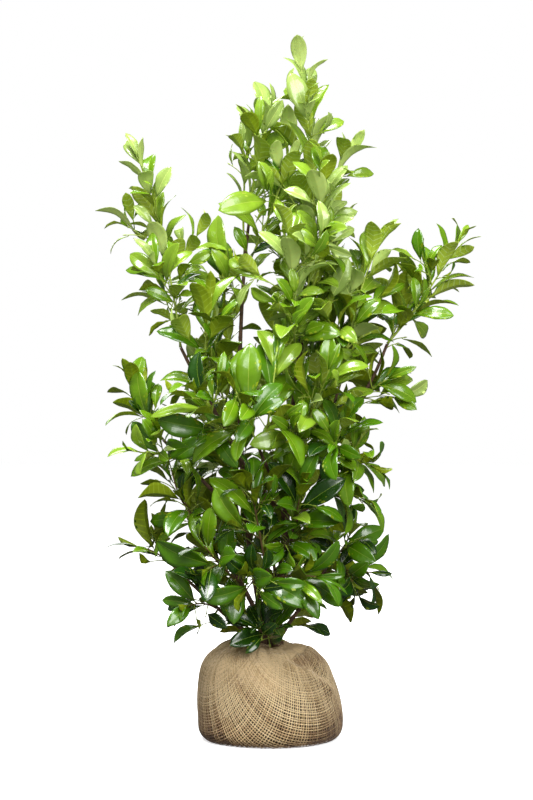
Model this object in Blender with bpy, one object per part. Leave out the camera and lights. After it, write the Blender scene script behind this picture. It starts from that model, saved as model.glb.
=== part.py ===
"""Cherry laurel shrub, several stems from one root, standing on its root ball wrapped in jute cloth.

Metres, +Z up, the front faces -Y. The origin is the middle of the ball's flat underside.
Limbs taper and bow from a carrier to a tip; every mass of foliage grows from one stem by a seeded rule.
"""
import math
import random
from collections import namedtuple

import bmesh
import bpy
from mathutils import Matrix, Vector
from mathutils.bvhtree import BVHTree

GAP = 0.0003                    # clearance between neighbouring solids

# Root ball: a squat rounded body with a flat underside and a flat seat for the stems on top
BALL_WIDTH = 0.330
BALL_DEPTH = 0.330
BALL_HEIGHT = 0.214
BALL_WAIST = 0.050              # height of its widest ring
BALL_RISE = 0.170               # from the waist up to where the unclipped form would close
BALL_FALL = 0.063               # and down
BALL_SQUARENESS = 2.6           # of its profile above the waist
BALL_SQUARENESS_BELOW = 3.7
BALL_TILT = 0.32                # how much lower the top lies on the right, per metre
BALL_LEAN = 0.09                # and how far it leans to the left, for each metre of its height above the waist
BALL_SEAT = 0.062               # radius of the flat seat
BALL_LUMP = 0.013               # lumps, as a share of the radius
BALL_WAVES = ((3, 2.9, 0.0, 0.5), (5, 1.9, 2.4, 0.5))  # lumps round it, phase, phase per metre of height, share
BALL_SEGMENTS = 20
BALL_RINGS = 14

# Woody parts
LIMB_SIDES = 7
LIMB_STEP = 0.075               # length of one straight run of a limb
ROOT_FLARE = 1.45               # foot of a stem against its width just above
FLARE_HEIGHT = 0.012
CROOK = 0.004                   # sideways wander of a limb
SEAT_REACH = 0.012              # size of the foot that is fitted to a carrier
SEAT_RANGE = (-0.012, 0.024)    # how far a foot may slide to its seat
SEAT_HALVINGS = 14
SEAT_SAMPLES = 24               # points measured along each edge of a foot

# Shoots
TWIG_SIDES = 3
TWIG_STEP = 0.050
STEM_THICK = 0.0032             # radius of a mass's stem at its foot and at its tip, then of a side twig
STEM_THIN = 0.0017
TWIG_THICK = 0.0019
TWIG_THIN = 0.0014
SHOOT_LEAST = 3                 # fewest straight runs of a limb or of a mass's stem
BOW_TURNS = 8                   # ways that a stem may bow to find free room
TWIG_EVERY = 0.085              # stem length that carries one side twig
TWIG_LAST = 0.75                # share of the stem where the last one leaves
TWIG_TAPER = 1.15               # side twigs shorten towards this share of the stem
TWIG_SWING = 0.4
TWIG_VARY = (0.8, 1.2)
TWIG_CLEAR_FROM = 0.25          # share of a side twig past which it keeps clear of its own mass too
TWIG_SHARE = 0.36               # side twig against the stem that it leaves
TWIG_SHORTEST = 0.055
TWIG_LONGEST = 0.110
TWIG_BOW = 0.05
TWIG_BARE = 0.35                # share of a side twig without leaves
TWIG_LEAN = math.radians(46)
GOLDEN = math.radians(137.5)    # turn from one leaf or twig to the next

# Leaves
LEAF_STEP = 0.0187              # distance between leaf roots along a shoot
LEAF_WIDTH = 0.46               # against its length
LEAF_WIDEST = 0.58              # place of the widest line along the leaf
LEAF_ARCH = 0.07
LEAF_KEEL = 0.0022              # midrib below the blade
LEAF_ROOT = 0.0016              # height of the root edge inside the twig
LEAF_LAST = 0.995               # share of a shoot where its last leaf sits
LEAF_TURN = 0.35                # stray turn of a leaf round its shoot
LEAF_SIZE = (0.78, 0.34, 0.9)   # least size, swell half way along the shoot, share where the swell ends
LEAF_SIZE_VARY = (0.85, 1.1)
LEAF_WIDTH_VARY = (0.9, 1.12)
OPEN_FOOT = math.radians(68)    # angle between leaf and shoot, at the shoot's foot and at its tip
OPEN_TIP = math.radians(36)
OPEN_CURVE = 1.4
RISE = 0.26                     # how strongly a leaf grows upwards, for each metre of its height
OPEN_VARY = (0.55, 1.4)
LIGHT = 0.30                    # how far a blade turns its face up to the light
FRONT = 0.12                    # and to the nearer side of the crown, front or back
FRONT_UP_TO = 0.10
LEAF_ROLL = 0.60                # and how far it may roll about its midrib, in radians
LEAF_NECK = 0.16                # share of a leaf that may cross its own mass
CLEAR = 0.0014                  # free space kept round a leaf or twig
TRIES = 6                       # a crowded leaf is turned and made smaller, up to this many times
LEAF_SWING = 0.3
LEAF_SHRINK = 0.06
LOWEST_LEAF = 0.16              # no leaf hangs below this height

LEAF_FACES = ((0, 3, 2), (2, 3, 5), (1, 2, 4), (1, 4, 3), (2, 5, 4), (4, 5, 3), (0, 2, 1), (0, 1, 3))

Limb = namedtuple("Limb", "carrier share tip bow thick thin")
Mass = namedtuple("Mass", "carrier share tip bow bare leaf seed")

# Stems stand on the ball (share is then the foot's place on it); boughs leave another limb at a share of it
STEMS = {
    "trunk": Limb(None, (0.016, 0.0), (0.076, 0.010, 0.950), (-0.005, 0.008, 0), 0.0120, 0.0050),
    "rear_stem": Limb(None, (-0.009, 0.028), (-0.049, 0.045, 1.190), (-0.040, 0.022, 0), 0.0085, 0.0036),
    "left_stem": Limb(None, (-0.016, -0.013), (-0.149, -0.030, 0.485), (0.018, -0.006, 0), 0.0070, 0.0040),
}
BOUGHS = {
    "left_bough": Limb("trunk", 0.45, (-0.199, -0.030, 0.896), (-0.012, -0.033, 0), 0.0065, 0.0038),
    "outer_left_bough": Limb("rear_stem", 0.32, (-0.241, -0.010, 0.686), (0, -0.010, 0.005), 0.0052, 0.0036),
    "lower_left_bough": Limb("left_stem", 0.20, (-0.200, -0.045, 0.383), (0, -0.010, -0.004), 0.0050, 0.0036),
    "right_bough": Limb("trunk", 0.39, (0.128, -0.020, 0.663), (0.008, -0.010, -0.004), 0.0072, 0.0055),
    "outer_right_bough": Limb("right_bough", 1.0, (0.269, 0.0, 0.904), (0.010, 0, 0), 0.0052, 0.0036),
    "inner_right_bough": Limb("right_bough", 0.86, (0.173, -0.040, 0.850), (-0.004, 0, 0), 0.0042, 0.0034),
    "lower_right_bough": Limb("trunk", 0.12, (0.132, 0.020, 0.403), (0.004, 0, -0.004), 0.0050, 0.0036),
    "back_bough": Limb("trunk", 0.47, (0.048, 0.180, 0.717), (0, 0.018, -0.016), 0.0060, 0.0038),
    "front_bough": Limb("trunk", 0.50, (-0.027, -0.125, 0.677), (0, -0.018, -0.008), 0.0052, 0.0036),
    "lower_back_bough": Limb("trunk", 0.17, (0.010, 0.150, 0.400), (0, 0.014, -0.010), 0.0052, 0.0036),
    "lower_front_bough": Limb("trunk", 0.20, (-0.012, -0.110, 0.420), (0, -0.014, -0.008), 0.0050, 0.0036),
}
MASSES = {
    "leader": Mass("trunk", 1.0, (0.072, -0.020, 1.535), (0.026, 0, 0), 0.04, 0.110, 314),
    "rear_leader": Mass("rear_stem", 1.0, (-0.002, 0.035, 1.431), (-0.008, 0, 0), 0.10, 0.125, 365),
    "rear_twin": Mass("rear_stem", 0.93, (-0.042, 0.080, 1.413), (-0.010, 0.012, 0), 0.25, 0.090, 365),
    "crossing": Mass("rear_stem", 0.90, (0.039, -0.015, 1.314), (0, 0, -0.010), 0.25, 0.120, 66),
    "window_spray": Mass("rear_stem", 0.82, (-0.100, 0.010, 1.075), (0, 0, -0.008), 0.15, 0.150, 661),
    "top_left": Mass("left_bough", 1.0, (-0.299, -0.010, 1.324), (0.012, 0, 0), 0.06, 0.102, 2400),
    "front_high": Mass("trunk", 0.95, (0.119, -0.100, 1.286), (0.012, -0.015, 0), 0.12, 0.105, 345),
    "right_high": Mass("trunk", 0.90, (0.163, 0.110, 1.178), (0.010, 0.015, 0), 0.15, 0.104, 11),
    "front_mid_high": Mass("trunk", 0.86, (0.044, -0.140, 1.161), (0, -0.030, 0), 0.15, 0.110, 214),
    "back_high": Mass("trunk", 0.88, (0.081, 0.160, 1.242), (-0.010, 0.030, 0), 0.25, 0.104, 325),
    "left_inner": Mass("left_bough", 0.78, (-0.140, -0.070, 0.985), (0, -0.010, 0), 0.15, 0.120, 3),
    "top_right": Mass("outer_right_bough", 1.0, (0.430, -0.010, 1.135), (0, 0, -0.012), 0.06, 0.102, 1218),
    "right_tip": Mass("inner_right_bough", 1.0, (0.238, -0.060, 1.113), (-0.010, -0.005, 0), 0.05, 0.120, 387),
    "right_back_tip": Mass("outer_right_bough", 0.90, (0.335, 0.085, 1.030), (0, 0.010, 0), 0.15, 0.120, 193),
    "right_lateral": Mass("outer_right_bough", 0.45, (0.262, -0.060, 0.822), (0, 0, 0.006), 0.20, 0.102, 515),
    "far_left": Mass("outer_left_bough", 1.0, (-0.312, -0.025, 0.809), (-0.010, 0, 0), 0.05, 0.102, 189),
    "left_shelf": Mass("outer_left_bough", 0.75, (-0.290, -0.105, 0.660), (0, 0, 0.004), 0.15, 0.105, 231),
    "left_front": Mass("left_bough", 0.45, (-0.159, -0.190, 0.795), (0, -0.012, 0), 0.15, 0.120, 271),
    "front_centre": Mass("front_bough", 1.0, (-0.075, -0.215, 0.795), (0, -0.010, 0), 0.10, 0.120, 208),
    "centre_front": Mass("front_bough", 0.85, (0.010, -0.150, 0.850), (0, -0.014, 0), 0.15, 0.120, 258),
    "front_right": Mass("trunk", 0.62, (0.128, -0.170, 0.839), (0, -0.014, -0.010), 0.15, 0.120, 439),
    "left_column": Mass("rear_stem", 0.50, (-0.125, -0.010, 0.950), (-0.016, 0.006, 0), 0.30, 0.120, 379),
    "right_column": Mass("trunk", 0.66, (0.149, 0.055, 0.991), (0.016, 0.008, 0), 0.30, 0.120, 409),
    "right_shelf": Mass("right_bough", 0.93, (0.224, -0.100, 0.630), (0, 0, 0.012), 0.15, 0.104, 422),
    "right_low_shelf": Mass("right_bough", 0.50, (0.202, -0.120, 0.560), (0, 0, 0.010), 0.15, 0.104, 379),
    "right_front": Mass("right_bough", 0.75, (0.165, -0.155, 0.728), (0, -0.010, 0), 0.15, 0.104, 281),
    "mid_left": Mass("left_stem", 1.0, (-0.224, -0.030, 0.613), (-0.012, 0, -0.006), 0.10, 0.130, 462),
    "low_left_reach": Mass("lower_left_bough", 1.0, (-0.300, -0.020, 0.440), (0, 0, 0.012), 0.08, 0.105, 443),
    "low_left_front": Mass("lower_left_bough", 0.55, (-0.178, -0.140, 0.320), (0, 0, 0.006), 0.15, 0.104, 348),
    "low_front_left": Mass("left_stem", 0.62, (-0.143, -0.155, 0.450), (0, 0, -0.006), 0.15, 0.120, 164),
    "low_front": Mass("lower_front_bough", 0.80, (-0.050, -0.170, 0.360), (0, 0, 0.006), 0.15, 0.120, 150),
    "low_front_right": Mass("lower_front_bough", 0.62, (0.095, -0.150, 0.385), (0, -0.010, 0.006), 0.15, 0.120, 412),
    "mid_front_left": Mass("lower_front_bough", 1.0, (-0.045, -0.170, 0.600), (0, -0.014, 0), 0.10, 0.120, 442),
    "mid_front_right": Mass("trunk", 0.34, (0.070, -0.160, 0.580), (0, 0, -0.010), 0.15, 0.120, 144),
    "low_right_up": Mass("lower_right_bough", 1.0, (0.184, 0.0, 0.470), (0.006, 0, -0.004), 0.10, 0.105, 141),
    "low_right_reach": Mass("lower_right_bough", 0.85, (0.225, -0.040, 0.385), (0, 0, 0.006), 0.15, 0.104, 423),
    "basal_sprout": Mass("trunk", 0.035, (-0.022, -0.095, 0.262), (0, 0, 0.004), 0.30, 0.100, 358),
    "back_low_left": Mass("lower_back_bough", 1.0, (-0.092, 0.225, 0.430), (0, 0.010, -0.006), 0.29, 0.120, 312),
    "back_low_right": Mass("lower_back_bough", 0.82, (0.115, 0.205, 0.425), (0, 0.012, 0), 0.29, 0.120, 207),
    "back_centre": Mass("trunk", 0.34, (0.030, 0.210, 0.585), (0, 0.010, -0.008), 0.29, 0.120, 269),
    "back_mid_left": Mass("rear_stem", 0.40, (-0.150, 0.215, 0.720), (0, 0.014, -0.012), 0.29, 0.120, 303),
    "back_mid_right": Mass("back_bough", 0.75, (0.150, 0.215, 0.735), (0, 0.012, -0.008), 0.29, 0.120, 42),
    "back_top": Mass("back_bough", 1.0, (0.025, 0.255, 0.930), (0, 0.012, 0), 0.24, 0.120, 63),
    "back_high_left": Mass("rear_stem", 0.66, (-0.110, 0.175, 1.040), (-0.010, 0.014, 0), 0.28, 0.104, 127),
    "back_high_right": Mass("trunk", 0.80, (0.150, 0.185, 1.060), (0, 0.016, 0), 0.28, 0.120, 369),
}

BARK = ("bark", (0.20, 0.125, 0.085, 1), 0.8)
JUTE = ("jute_cloth", (0.60, 0.47, 0.32, 1), 0.95)
YOUNG_LEAF = ("young_leaves", (0.36, 0.50, 0.14, 1), 0.4)
OLD_LEAF = ("old_leaves", (0.10, 0.24, 0.05, 1), 0.35)
YOUNG_FROM = 0.80               # masses whose tips rise above this height carry young leaves


# ---------------------------------------------------------------- scene helpers

def clear_scene():
    for leftover in list(bpy.data.objects):
        bpy.data.objects.remove(leftover)


def new_collection(name):
    collection = bpy.data.collections.new(name)
    bpy.context.scene.collection.children.link(collection)
    return collection


def principled(recipe):
    name, colour, roughness = recipe
    material = bpy.data.materials.get(name)
    if material is None:
        material = bpy.data.materials.new(name)
        material.use_nodes = True
        shader = material.node_tree.nodes["Principled BSDF"]
        shader.inputs["Base Color"].default_value = colour
        shader.inputs["Roughness"].default_value = roughness
        shader.inputs["Metallic"].default_value = 0.0
    return material


def mesh_object(name, mesh, collection):
    thing = bpy.data.objects.new(name, mesh)
    collection.objects.link(thing)
    return thing


def evaluated_mesh(thing):
    graph = bpy.context.evaluated_depsgraph_get()
    return bpy.data.meshes.new_from_object(thing.evaluated_get(graph))


def tidy_mesh(mesh, merge=0.000001):
    """Weld the seams of a mesh and turn its faces outwards."""
    form = bmesh.new()
    form.from_mesh(mesh)
    bmesh.ops.remove_doubles(form, verts=form.verts, dist=merge)
    bmesh.ops.recalc_face_normals(form, faces=form.faces)
    form.to_mesh(mesh)
    form.free()


def shape_of(mesh):
    return [vertex.co.copy() for vertex in mesh.vertices], [tuple(face.vertices) for face in mesh.polygons]


def tree_of(mesh):
    return BVHTree.FromPolygons(*shape_of(mesh))


# ---------------------------------------------------------------- curves of growth

def bowed(foot, tip, bow, step, least=SHOOT_LEAST, crook=0.0, seed=0):
    """Points from foot to tip: a line that bows half way and wanders a little to each side."""
    reach = tip - foot
    runs = max(least, round(reach.length / step))
    wander = random.Random(seed)
    sway = [Vector((wander.uniform(-1, 1), wander.uniform(-1, 1), 0)) * crook for _ in range(2)]
    points = []
    for index in range(runs + 1):
        t = index / runs
        fade = math.sin(math.pi * t)
        bend = sway[0] * math.sin(math.tau * t) + sway[1] * math.sin(2 * math.tau * t)
        points.append(foot + reach * t + bow * (4 * t * (1 - t)) + bend * fade)
    return points


def along(points, share):
    """Place and direction at a share of a chain of points."""
    place = min(max(share, 0.0), 1.0) * (len(points) - 1)
    index = min(int(place), len(points) - 2)
    run = points[index + 1] - points[index]
    return points[index] + run * (place - index), run.normalized()


def chain_length(points):
    return sum((b - a).length for a, b in zip(points, points[1:]))


def turned(axis, angle):
    """A direction square to an axis, turned about it by an angle."""
    side = axis.cross(Vector((1, 0, 0)) if abs(axis.x) < 0.7 else Vector((0, 1, 0))).normalized()
    return Matrix.Rotation(angle, 3, axis) @ side


def spread(low, high, share):
    return low + (high - low) * share


def tapered(thick, thin, points, extra=0.0):
    """The radius at each point of a limb or shoot."""
    return [spread(thick, thin, index / (len(points) - 1)) + extra for index in range(len(points))]


# ---------------------------------------------------------------- solids

def section(sides, guides):
    """The polygon that a tapering limb is swept from, one unit in radius."""
    name = f"section_{sides}"
    if name in bpy.data.objects:
        return bpy.data.objects[name]
    outline = bpy.data.curves.new(name, "CURVE")
    spline = outline.splines.new("POLY")
    spline.points.add(sides - 1)
    for index, point in enumerate(spline.points):
        angle = math.tau * index / sides
        point.co = (math.cos(angle), math.sin(angle), 0, 1)
    spline.use_cyclic_u = True
    guide = mesh_object(name, outline, guides)
    guide.hide_render = True
    guide.display_type = "WIRE"
    return guide


def swept(name, points, radii, sides, guides):
    """A tapering limb with flat ends: a curve swept with a polygon, made a closed mesh."""
    curve = bpy.data.curves.new(name, "CURVE")
    curve.dimensions = "3D"
    curve.bevel_mode = "OBJECT"
    curve.bevel_object = section(sides, guides)
    curve.use_fill_caps = True
    spline = curve.splines.new("POLY")
    spline.points.add(len(points) - 1)
    for knot, place, radius in zip(spline.points, points, radii):
        knot.co = (*place, 1)
        knot.radius = radius
    guide = mesh_object(name + "_guide", curve, guides)
    mesh = evaluated_mesh(guide)
    bpy.data.objects.remove(guide)
    tidy_mesh(mesh)
    return mesh


def edge_samples(mesh, foot):
    """Points along the edges at a limb's foot, closer together towards the foot."""
    samples = []
    for edge in mesh.edges:
        ends = sorted((mesh.vertices[index].co for index in edge.vertices), key=lambda end: (end - foot).length)
        if (ends[0] - foot).length < SEAT_REACH:
            samples += [ends[0].lerp(ends[1], (index / SEAT_SAMPLES) ** 2) for index in range(SEAT_SAMPLES + 1)]
    return samples


def gap_between(mesh, tree, other, foot):
    """Smallest distance from mesh to a neighbour (its tree and mesh), or -1 where they cross."""
    own = tree_of(mesh)
    if own.overlap(tree):
        return -1.0
    near = [vertex.co for vertex in other.vertices if (vertex.co - foot).length < LIMB_STEP]
    there = min(tree.find_nearest(place)[3] for place in edge_samples(mesh, foot))
    back = min((own.find_nearest(place)[3] for place in near), default=1.0)
    return min(there, back)


def seat(mesh, carrier, foot, way):
    """Slide a mesh along a way, out of its carrier, until the gap between them is GAP."""
    tree = tree_of(carrier)
    inside, outside = SEAT_RANGE
    placed = 0.0
    for _ in range(SEAT_HALVINGS):
        middle = (inside + outside) / 2
        mesh.transform(Matrix.Translation(way * (middle - placed)))
        placed = middle
        if gap_between(mesh, tree, carrier, foot + way * middle) < GAP:
            inside = middle
        else:
            outside = middle
    mesh.transform(Matrix.Translation(way * (outside - placed)))
    return way * outside


def leaf_solid(root, way, up, length, width, extra=0.0, start=0.0):
    """Six corners of a leaf: root edge, left, right, keel and tip. Extra swells it, start trims its foot."""
    side = way.cross(up).normalized()
    belly = root + way * (length * LEAF_WIDEST) + up * (length * LEAF_ARCH)
    foot = root + way * (length * start)
    half = width / 2 + extra
    return (foot + up * (LEAF_ROOT / 2 + extra),
            foot - up * (LEAF_ROOT / 2 + extra),
            belly - side * half + up * extra,
            belly + side * half + up * extra,
            belly - up * (LEAF_KEEL + extra),
            root + way * (length + extra))


# ---------------------------------------------------------------- growth

class Space:
    """What already fills the space, face by face, and which limb or mass each face belongs to."""

    def __init__(self):
        self.points, self.faces, self.owners = [], [], []
        self.tree = None

    def add(self, owner, points, faces):
        offset = len(self.points)
        self.points += [tuple(point) for point in points]
        self.faces += [tuple(offset + index for index in face) for face in faces]
        self.owners += [owner] * len(faces)
        self.tree = BVHTree.FromPolygons(self.points, self.faces)

    def is_free(self, points, faces, apart_from=None):
        """Whether a form crosses nothing here, or nothing but what belongs to one owner."""
        crossed = self.tree.overlap(BVHTree.FromPolygons([tuple(point) for point in points], faces))
        return all(self.owners[index] == apart_from for index, _ in crossed)


def shoots_of(mass, stem):
    """The stem of a mass and the side twigs that leave it, each with the share where its leaves begin."""
    chance = random.Random(mass.seed)
    spin = chance.uniform(0, math.tau)
    length = chain_length(stem)
    shoots = [(stem, mass.bare)]
    count = int(length * (1 - mass.bare) / TWIG_EVERY + 0.5)
    for index in range(count):
        share = spread(mass.bare, TWIG_LAST, (index + 0.5) / count)
        foot, way = along(stem, share)
        azimuth = spin + index * GOLDEN + chance.uniform(-TWIG_SWING, TWIG_SWING)
        lean = TWIG_LEAN * chance.uniform(*TWIG_VARY)
        out = way * math.cos(lean) + turned(way, azimuth) * math.sin(lean)
        reach = length * TWIG_SHARE * (TWIG_TAPER - share) * chance.uniform(*TWIG_VARY)
        reach = min(max(reach, TWIG_SHORTEST), TWIG_LONGEST)
        tip = foot + out * reach
        shoots.append((bowed(foot, tip, turned(out, azimuth) * (reach * TWIG_BOW), TWIG_STEP, 1), TWIG_BARE))
    return shoots


def leaf_plan(mass, shoots):
    """Every leaf that a mass would like: root, way, face direction, length, width, swing to a free place."""
    chance = random.Random(mass.seed + 1000)
    plan = []
    for points, bare in shoots:
        spin = chance.uniform(0, math.tau)
        count = max(2, round(chain_length(points) * (1 - bare) / LEAF_STEP))
        for index in range(count):
            share = spread(bare, LEAF_LAST, (index + 0.5) / count)
            root, way = along(points, share)
            azimuth = spin + index * GOLDEN + chance.uniform(-LEAF_TURN, LEAF_TURN)
            opening = spread(OPEN_FOOT, OPEN_TIP, share ** OPEN_CURVE) * chance.uniform(*OPEN_VARY)
            out = way * math.cos(opening) + turned(way, azimuth) * math.sin(opening)
            out = (out + Vector((0, 0, RISE * root.z))).normalized()
            front = Vector((0, -FRONT if root.y < FRONT_UP_TO else FRONT, 0))
            face = Vector((0, 0, 1)) * LIGHT + way * (1 - LIGHT) + front
            face = face - out * face.dot(out)
            roll = Matrix.Rotation(chance.uniform(-LEAF_ROLL, LEAF_ROLL), 3, out)
            up = (roll @ face).normalized()
            least, swell, end = LEAF_SIZE
            size = mass.leaf * (least + swell * math.sin(math.pi * min(share, end)))
            size *= chance.uniform(*LEAF_SIZE_VARY)
            width = size * LEAF_WIDTH * chance.uniform(*LEAF_WIDTH_VARY)
            plan.append((root, out, up, size, width, chance.uniform(-LEAF_SWING, LEAF_SWING)))
    return plan


def grow_leaves(name, mass, shoots, space):
    """The leaves of a mass that find free room; a crowded one tries a few turns about its root first."""
    leaves = []
    for root, way, up, length, width, swing in leaf_plan(mass, shoots):
        for attempt in range(TRIES):
            turn = Matrix.Rotation(attempt * swing, 3, Vector((0, 0, 1)))
            shrink = 1 - LEAF_SHRINK * attempt
            size = (root, turn @ way, turn @ up, length * shrink, width * shrink)
            if (root + way * length).z > LOWEST_LEAF \
                    and space.is_free(leaf_solid(*size, CLEAR, LEAF_NECK), LEAF_FACES) \
                    and space.is_free(leaf_solid(*size, CLEAR), LEAF_FACES, name):
                corners = leaf_solid(*size)
                space.add(name, corners, LEAF_FACES)
                leaves.append(corners)
                break
    return leaves


# ---------------------------------------------------------------- the plant

def make_ball(parts):
    form = bmesh.new()
    bmesh.ops.create_uvsphere(form, u_segments=BALL_SEGMENTS, v_segments=BALL_RINGS, radius=1)
    for vertex in form.verts:
        above = vertex.co.z > 0
        power = BALL_SQUARENESS if above else BALL_SQUARENESS_BELOW
        ring = math.hypot(vertex.co.x, vertex.co.y)
        angle = math.atan2(vertex.co.y, vertex.co.x)
        size = (ring ** power + abs(vertex.co.z) ** power) ** (-1 / power)
        rise = vertex.co.z * size * (BALL_RISE if above else BALL_FALL)
        lump = 1 + BALL_LUMP * sum(share * math.sin(waves * angle + phase + climb * rise)
                                   for waves, phase, climb, share in BALL_WAVES)
        x = math.cos(angle) * ring * size * BALL_WIDTH / 2 * lump - BALL_LEAN * max(rise, 0)
        y = math.sin(angle) * ring * size * BALL_DEPTH / 2 * lump
        z = BALL_WAIST + rise * (1 - BALL_TILT * x if above else 1)
        if above and math.hypot(x, y) < BALL_SEAT:
            z = BALL_HEIGHT
        vertex.co = (x, y, min(max(z, 0.0), BALL_HEIGHT))
    mesh = bpy.data.meshes.new("root_ball")
    form.to_mesh(mesh)
    form.free()
    mesh.materials.append(principled(JUTE))
    return mesh_object("root_ball", mesh, parts)


def make_stem(name, limb, guides):
    """A stem from its flat cut on the ball, over a short root flare, to its tip."""
    foot = Vector((*limb.share, BALL_HEIGHT + GAP))
    collar = foot + Vector((0, 0, FLARE_HEIGHT))
    points = bowed(collar, Vector(limb.tip), Vector(limb.bow), LIMB_STEP, crook=CROOK, seed=sum(map(ord, name)))
    radii = [limb.thick * ROOT_FLARE] + tapered(limb.thick, limb.thin, points)
    points = [foot] + points
    return points, swept(name, points, radii, LIMB_SIDES, guides)


def leave(limb, carriers):
    """Foot of a limb or shoot beside its carrier or at its tip, and the way that it slides to its seat."""
    points, mesh, widths = carriers[limb.carrier]
    place, way = along(points, limb.share)
    if limb.share == 1.0:
        return place + way * GAP, way
    reach = Vector(limb.tip) - place
    side = (reach - way * reach.dot(way)).normalized()
    return place + side * spread(*widths, limb.share), side


def make_bough(name, limb, carriers, guides):
    foot, way = leave(limb, carriers)
    points = bowed(foot, Vector(limb.tip), Vector(limb.bow), LIMB_STEP, crook=CROOK, seed=sum(map(ord, name)))
    mesh = swept(name, points, tapered(limb.thick, limb.thin, points), LIMB_SIDES, guides)
    shift = seat(mesh, carriers[limb.carrier][1], foot, way)
    return [point + shift for point in points], mesh


def make_twigs(name, mass, carriers, space, guides):
    """The woody part of a mass: its stem, bowed the first way that is free, and its side twigs."""
    foot, way = leave(mass, carriers)
    tip = Vector(mass.tip)
    chord = (tip - foot).normalized()
    for turn in range(BOW_TURNS):
        bow = Matrix.Rotation(math.tau * turn / BOW_TURNS, 3, chord) @ Vector(mass.bow)
        stem = bowed(foot, tip, bow, TWIG_STEP)
        mesh = swept(name, stem, tapered(STEM_THICK, STEM_THIN, stem), TWIG_SIDES, guides)
        shift = seat(mesh, carriers[mass.carrier][1], foot, way)
        moved = [point + shift for point in stem]
        probe = swept(name, moved, tapered(STEM_THICK, STEM_THIN, stem, CLEAR), TWIG_SIDES, guides)
        if space.is_free(*shape_of(mesh)) and space.is_free(*shape_of(probe), mass.carrier):
            break
    else:
        print("crowded stem", name)
    space.add(name, *shape_of(mesh))
    shoots = shoots_of(mass, moved)
    twigs = []
    kept = [shoots[0]]
    for points, bare in shoots[1:]:
        twig = swept(name, points, tapered(TWIG_THICK, TWIG_THIN, points), TWIG_SIDES, guides)
        radii = tapered(TWIG_THICK, TWIG_THIN, points, CLEAR)
        probe = swept(name, points, radii, TWIG_SIDES, guides)
        outer = swept(name, [along(points, TWIG_CLEAR_FROM)[0]] + points[1:], radii, TWIG_SIDES, guides)
        if space.is_free(*shape_of(outer)) and space.is_free(*shape_of(probe), name):
            space.add(name, *shape_of(twig))
            twigs.append(twig)
            kept.append((points, bare))
    return kept, mesh, twigs


def joined_mesh(name, solids):
    """One mesh that holds several solids side by side."""
    form = bmesh.new()
    for mesh in solids:
        form.from_mesh(mesh)
    mesh = bpy.data.meshes.new(name)
    form.to_mesh(mesh)
    form.free()
    return mesh


def leaf_mesh(name, leaves):
    points = [tuple(corner) for corners in leaves for corner in corners]
    faces = [tuple(6 * index + corner for corner in face) for index in range(len(leaves)) for face in LEAF_FACES]
    mesh = bpy.data.meshes.new(name)
    mesh.from_pydata(points, [], faces)
    tidy_mesh(mesh)
    return mesh


def largest_island(form):
    """The vertices of the largest connected piece of a mesh."""
    left, best = set(form.verts), set()
    while left:
        island, front = set(), [next(iter(left))]
        while front:
            vertex = front.pop()
            if vertex in island:
                continue
            island.add(vertex)
            front += [edge.other_vert(vertex) for edge in vertex.link_edges]
        left -= island
        if len(island) > len(best):
            best = island
    return best


def fuse(name, stem, twigs, leaves, parts, cutters):
    """Join the stem, twigs and leaves of a mass by one Boolean union on a collection."""
    if twigs:
        mesh_object(name + "_twigs", joined_mesh(name, twigs), cutters)
    mesh_object(name + "_leaves", leaf_mesh(name, leaves), cutters)
    thing = mesh_object(name, stem, parts)
    union = thing.modifiers.new("union", "BOOLEAN")
    union.operation = "UNION"
    union.operand_type = "COLLECTION"
    union.collection = cutters
    union.solver = "EXACT"
    mesh = evaluated_mesh(thing)
    thing.modifiers.clear()
    for operand in list(cutters.objects):
        bpy.data.objects.remove(operand)
    form = bmesh.new()
    form.from_mesh(mesh)
    keep = largest_island(form)
    bmesh.ops.delete(form, geom=[vertex for vertex in form.verts if vertex not in keep], context="VERTS")
    form.to_mesh(mesh)
    form.free()
    thing.data = mesh
    thing.data.materials.clear()
    thing.data.materials.append(principled(YOUNG_LEAF if max(v.co.z for v in mesh.vertices) > YOUNG_FROM
                                           else OLD_LEAF))
    return thing


def grow():
    """Everything that is worked out before the masses are fused: limbs, and each mass's twigs and leaves."""
    guides = new_collection("guides")
    parts = new_collection("cherry_laurel_on_root_ball")
    ball = make_ball(parts)
    space = Space()
    space.add("root_ball", *shape_of(ball.data))
    carriers = {}
    for name, limb in {**STEMS, **BOUGHS}.items():
        if limb.carrier is None:
            points, mesh = make_stem(name, limb, guides)
        else:
            points, mesh = make_bough(name, limb, carriers, guides)
        mesh.materials.append(principled(BARK))
        mesh_object(name, mesh, parts)
        space.add(name, *shape_of(mesh))
        carriers[name] = (points, mesh, (limb.thick, limb.thin))
    woods = {name: make_twigs(name, mass, carriers, space, guides) for name, mass in MASSES.items()}
    leaves = {name: grow_leaves(name, mass, woods[name][0], space) for name, mass in MASSES.items()}
    return parts, guides, carriers, woods, leaves


def main():
    clear_scene()
    parts, guides, carriers, woods, leaves = grow()
    cutters = new_collection("cutters")
    for name in MASSES:
        _, stem, twigs = woods[name]
        fuse(name, stem, twigs, leaves[name], parts, cutters)
    for collection in (guides, cutters):
        for leftover in list(collection.objects):
            bpy.data.objects.remove(leftover)
        bpy.data.collections.remove(collection)


if __name__ == "__main__":
    main()
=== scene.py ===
"""Cherry laurel on its wrapped root ball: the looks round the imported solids.

Limbs, shoots and leaves grow again by the rule that made the solids, then carry finer shoots, bark, living
leaves and the jute cloth. Metres, +Z up, the front faces -Y.
"""
import math
import random
from collections import namedtuple

import bmesh
import bpy
import numpy as np
from mathutils import Matrix, Vector
from mathutils.bvhtree import BVHTree


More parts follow.
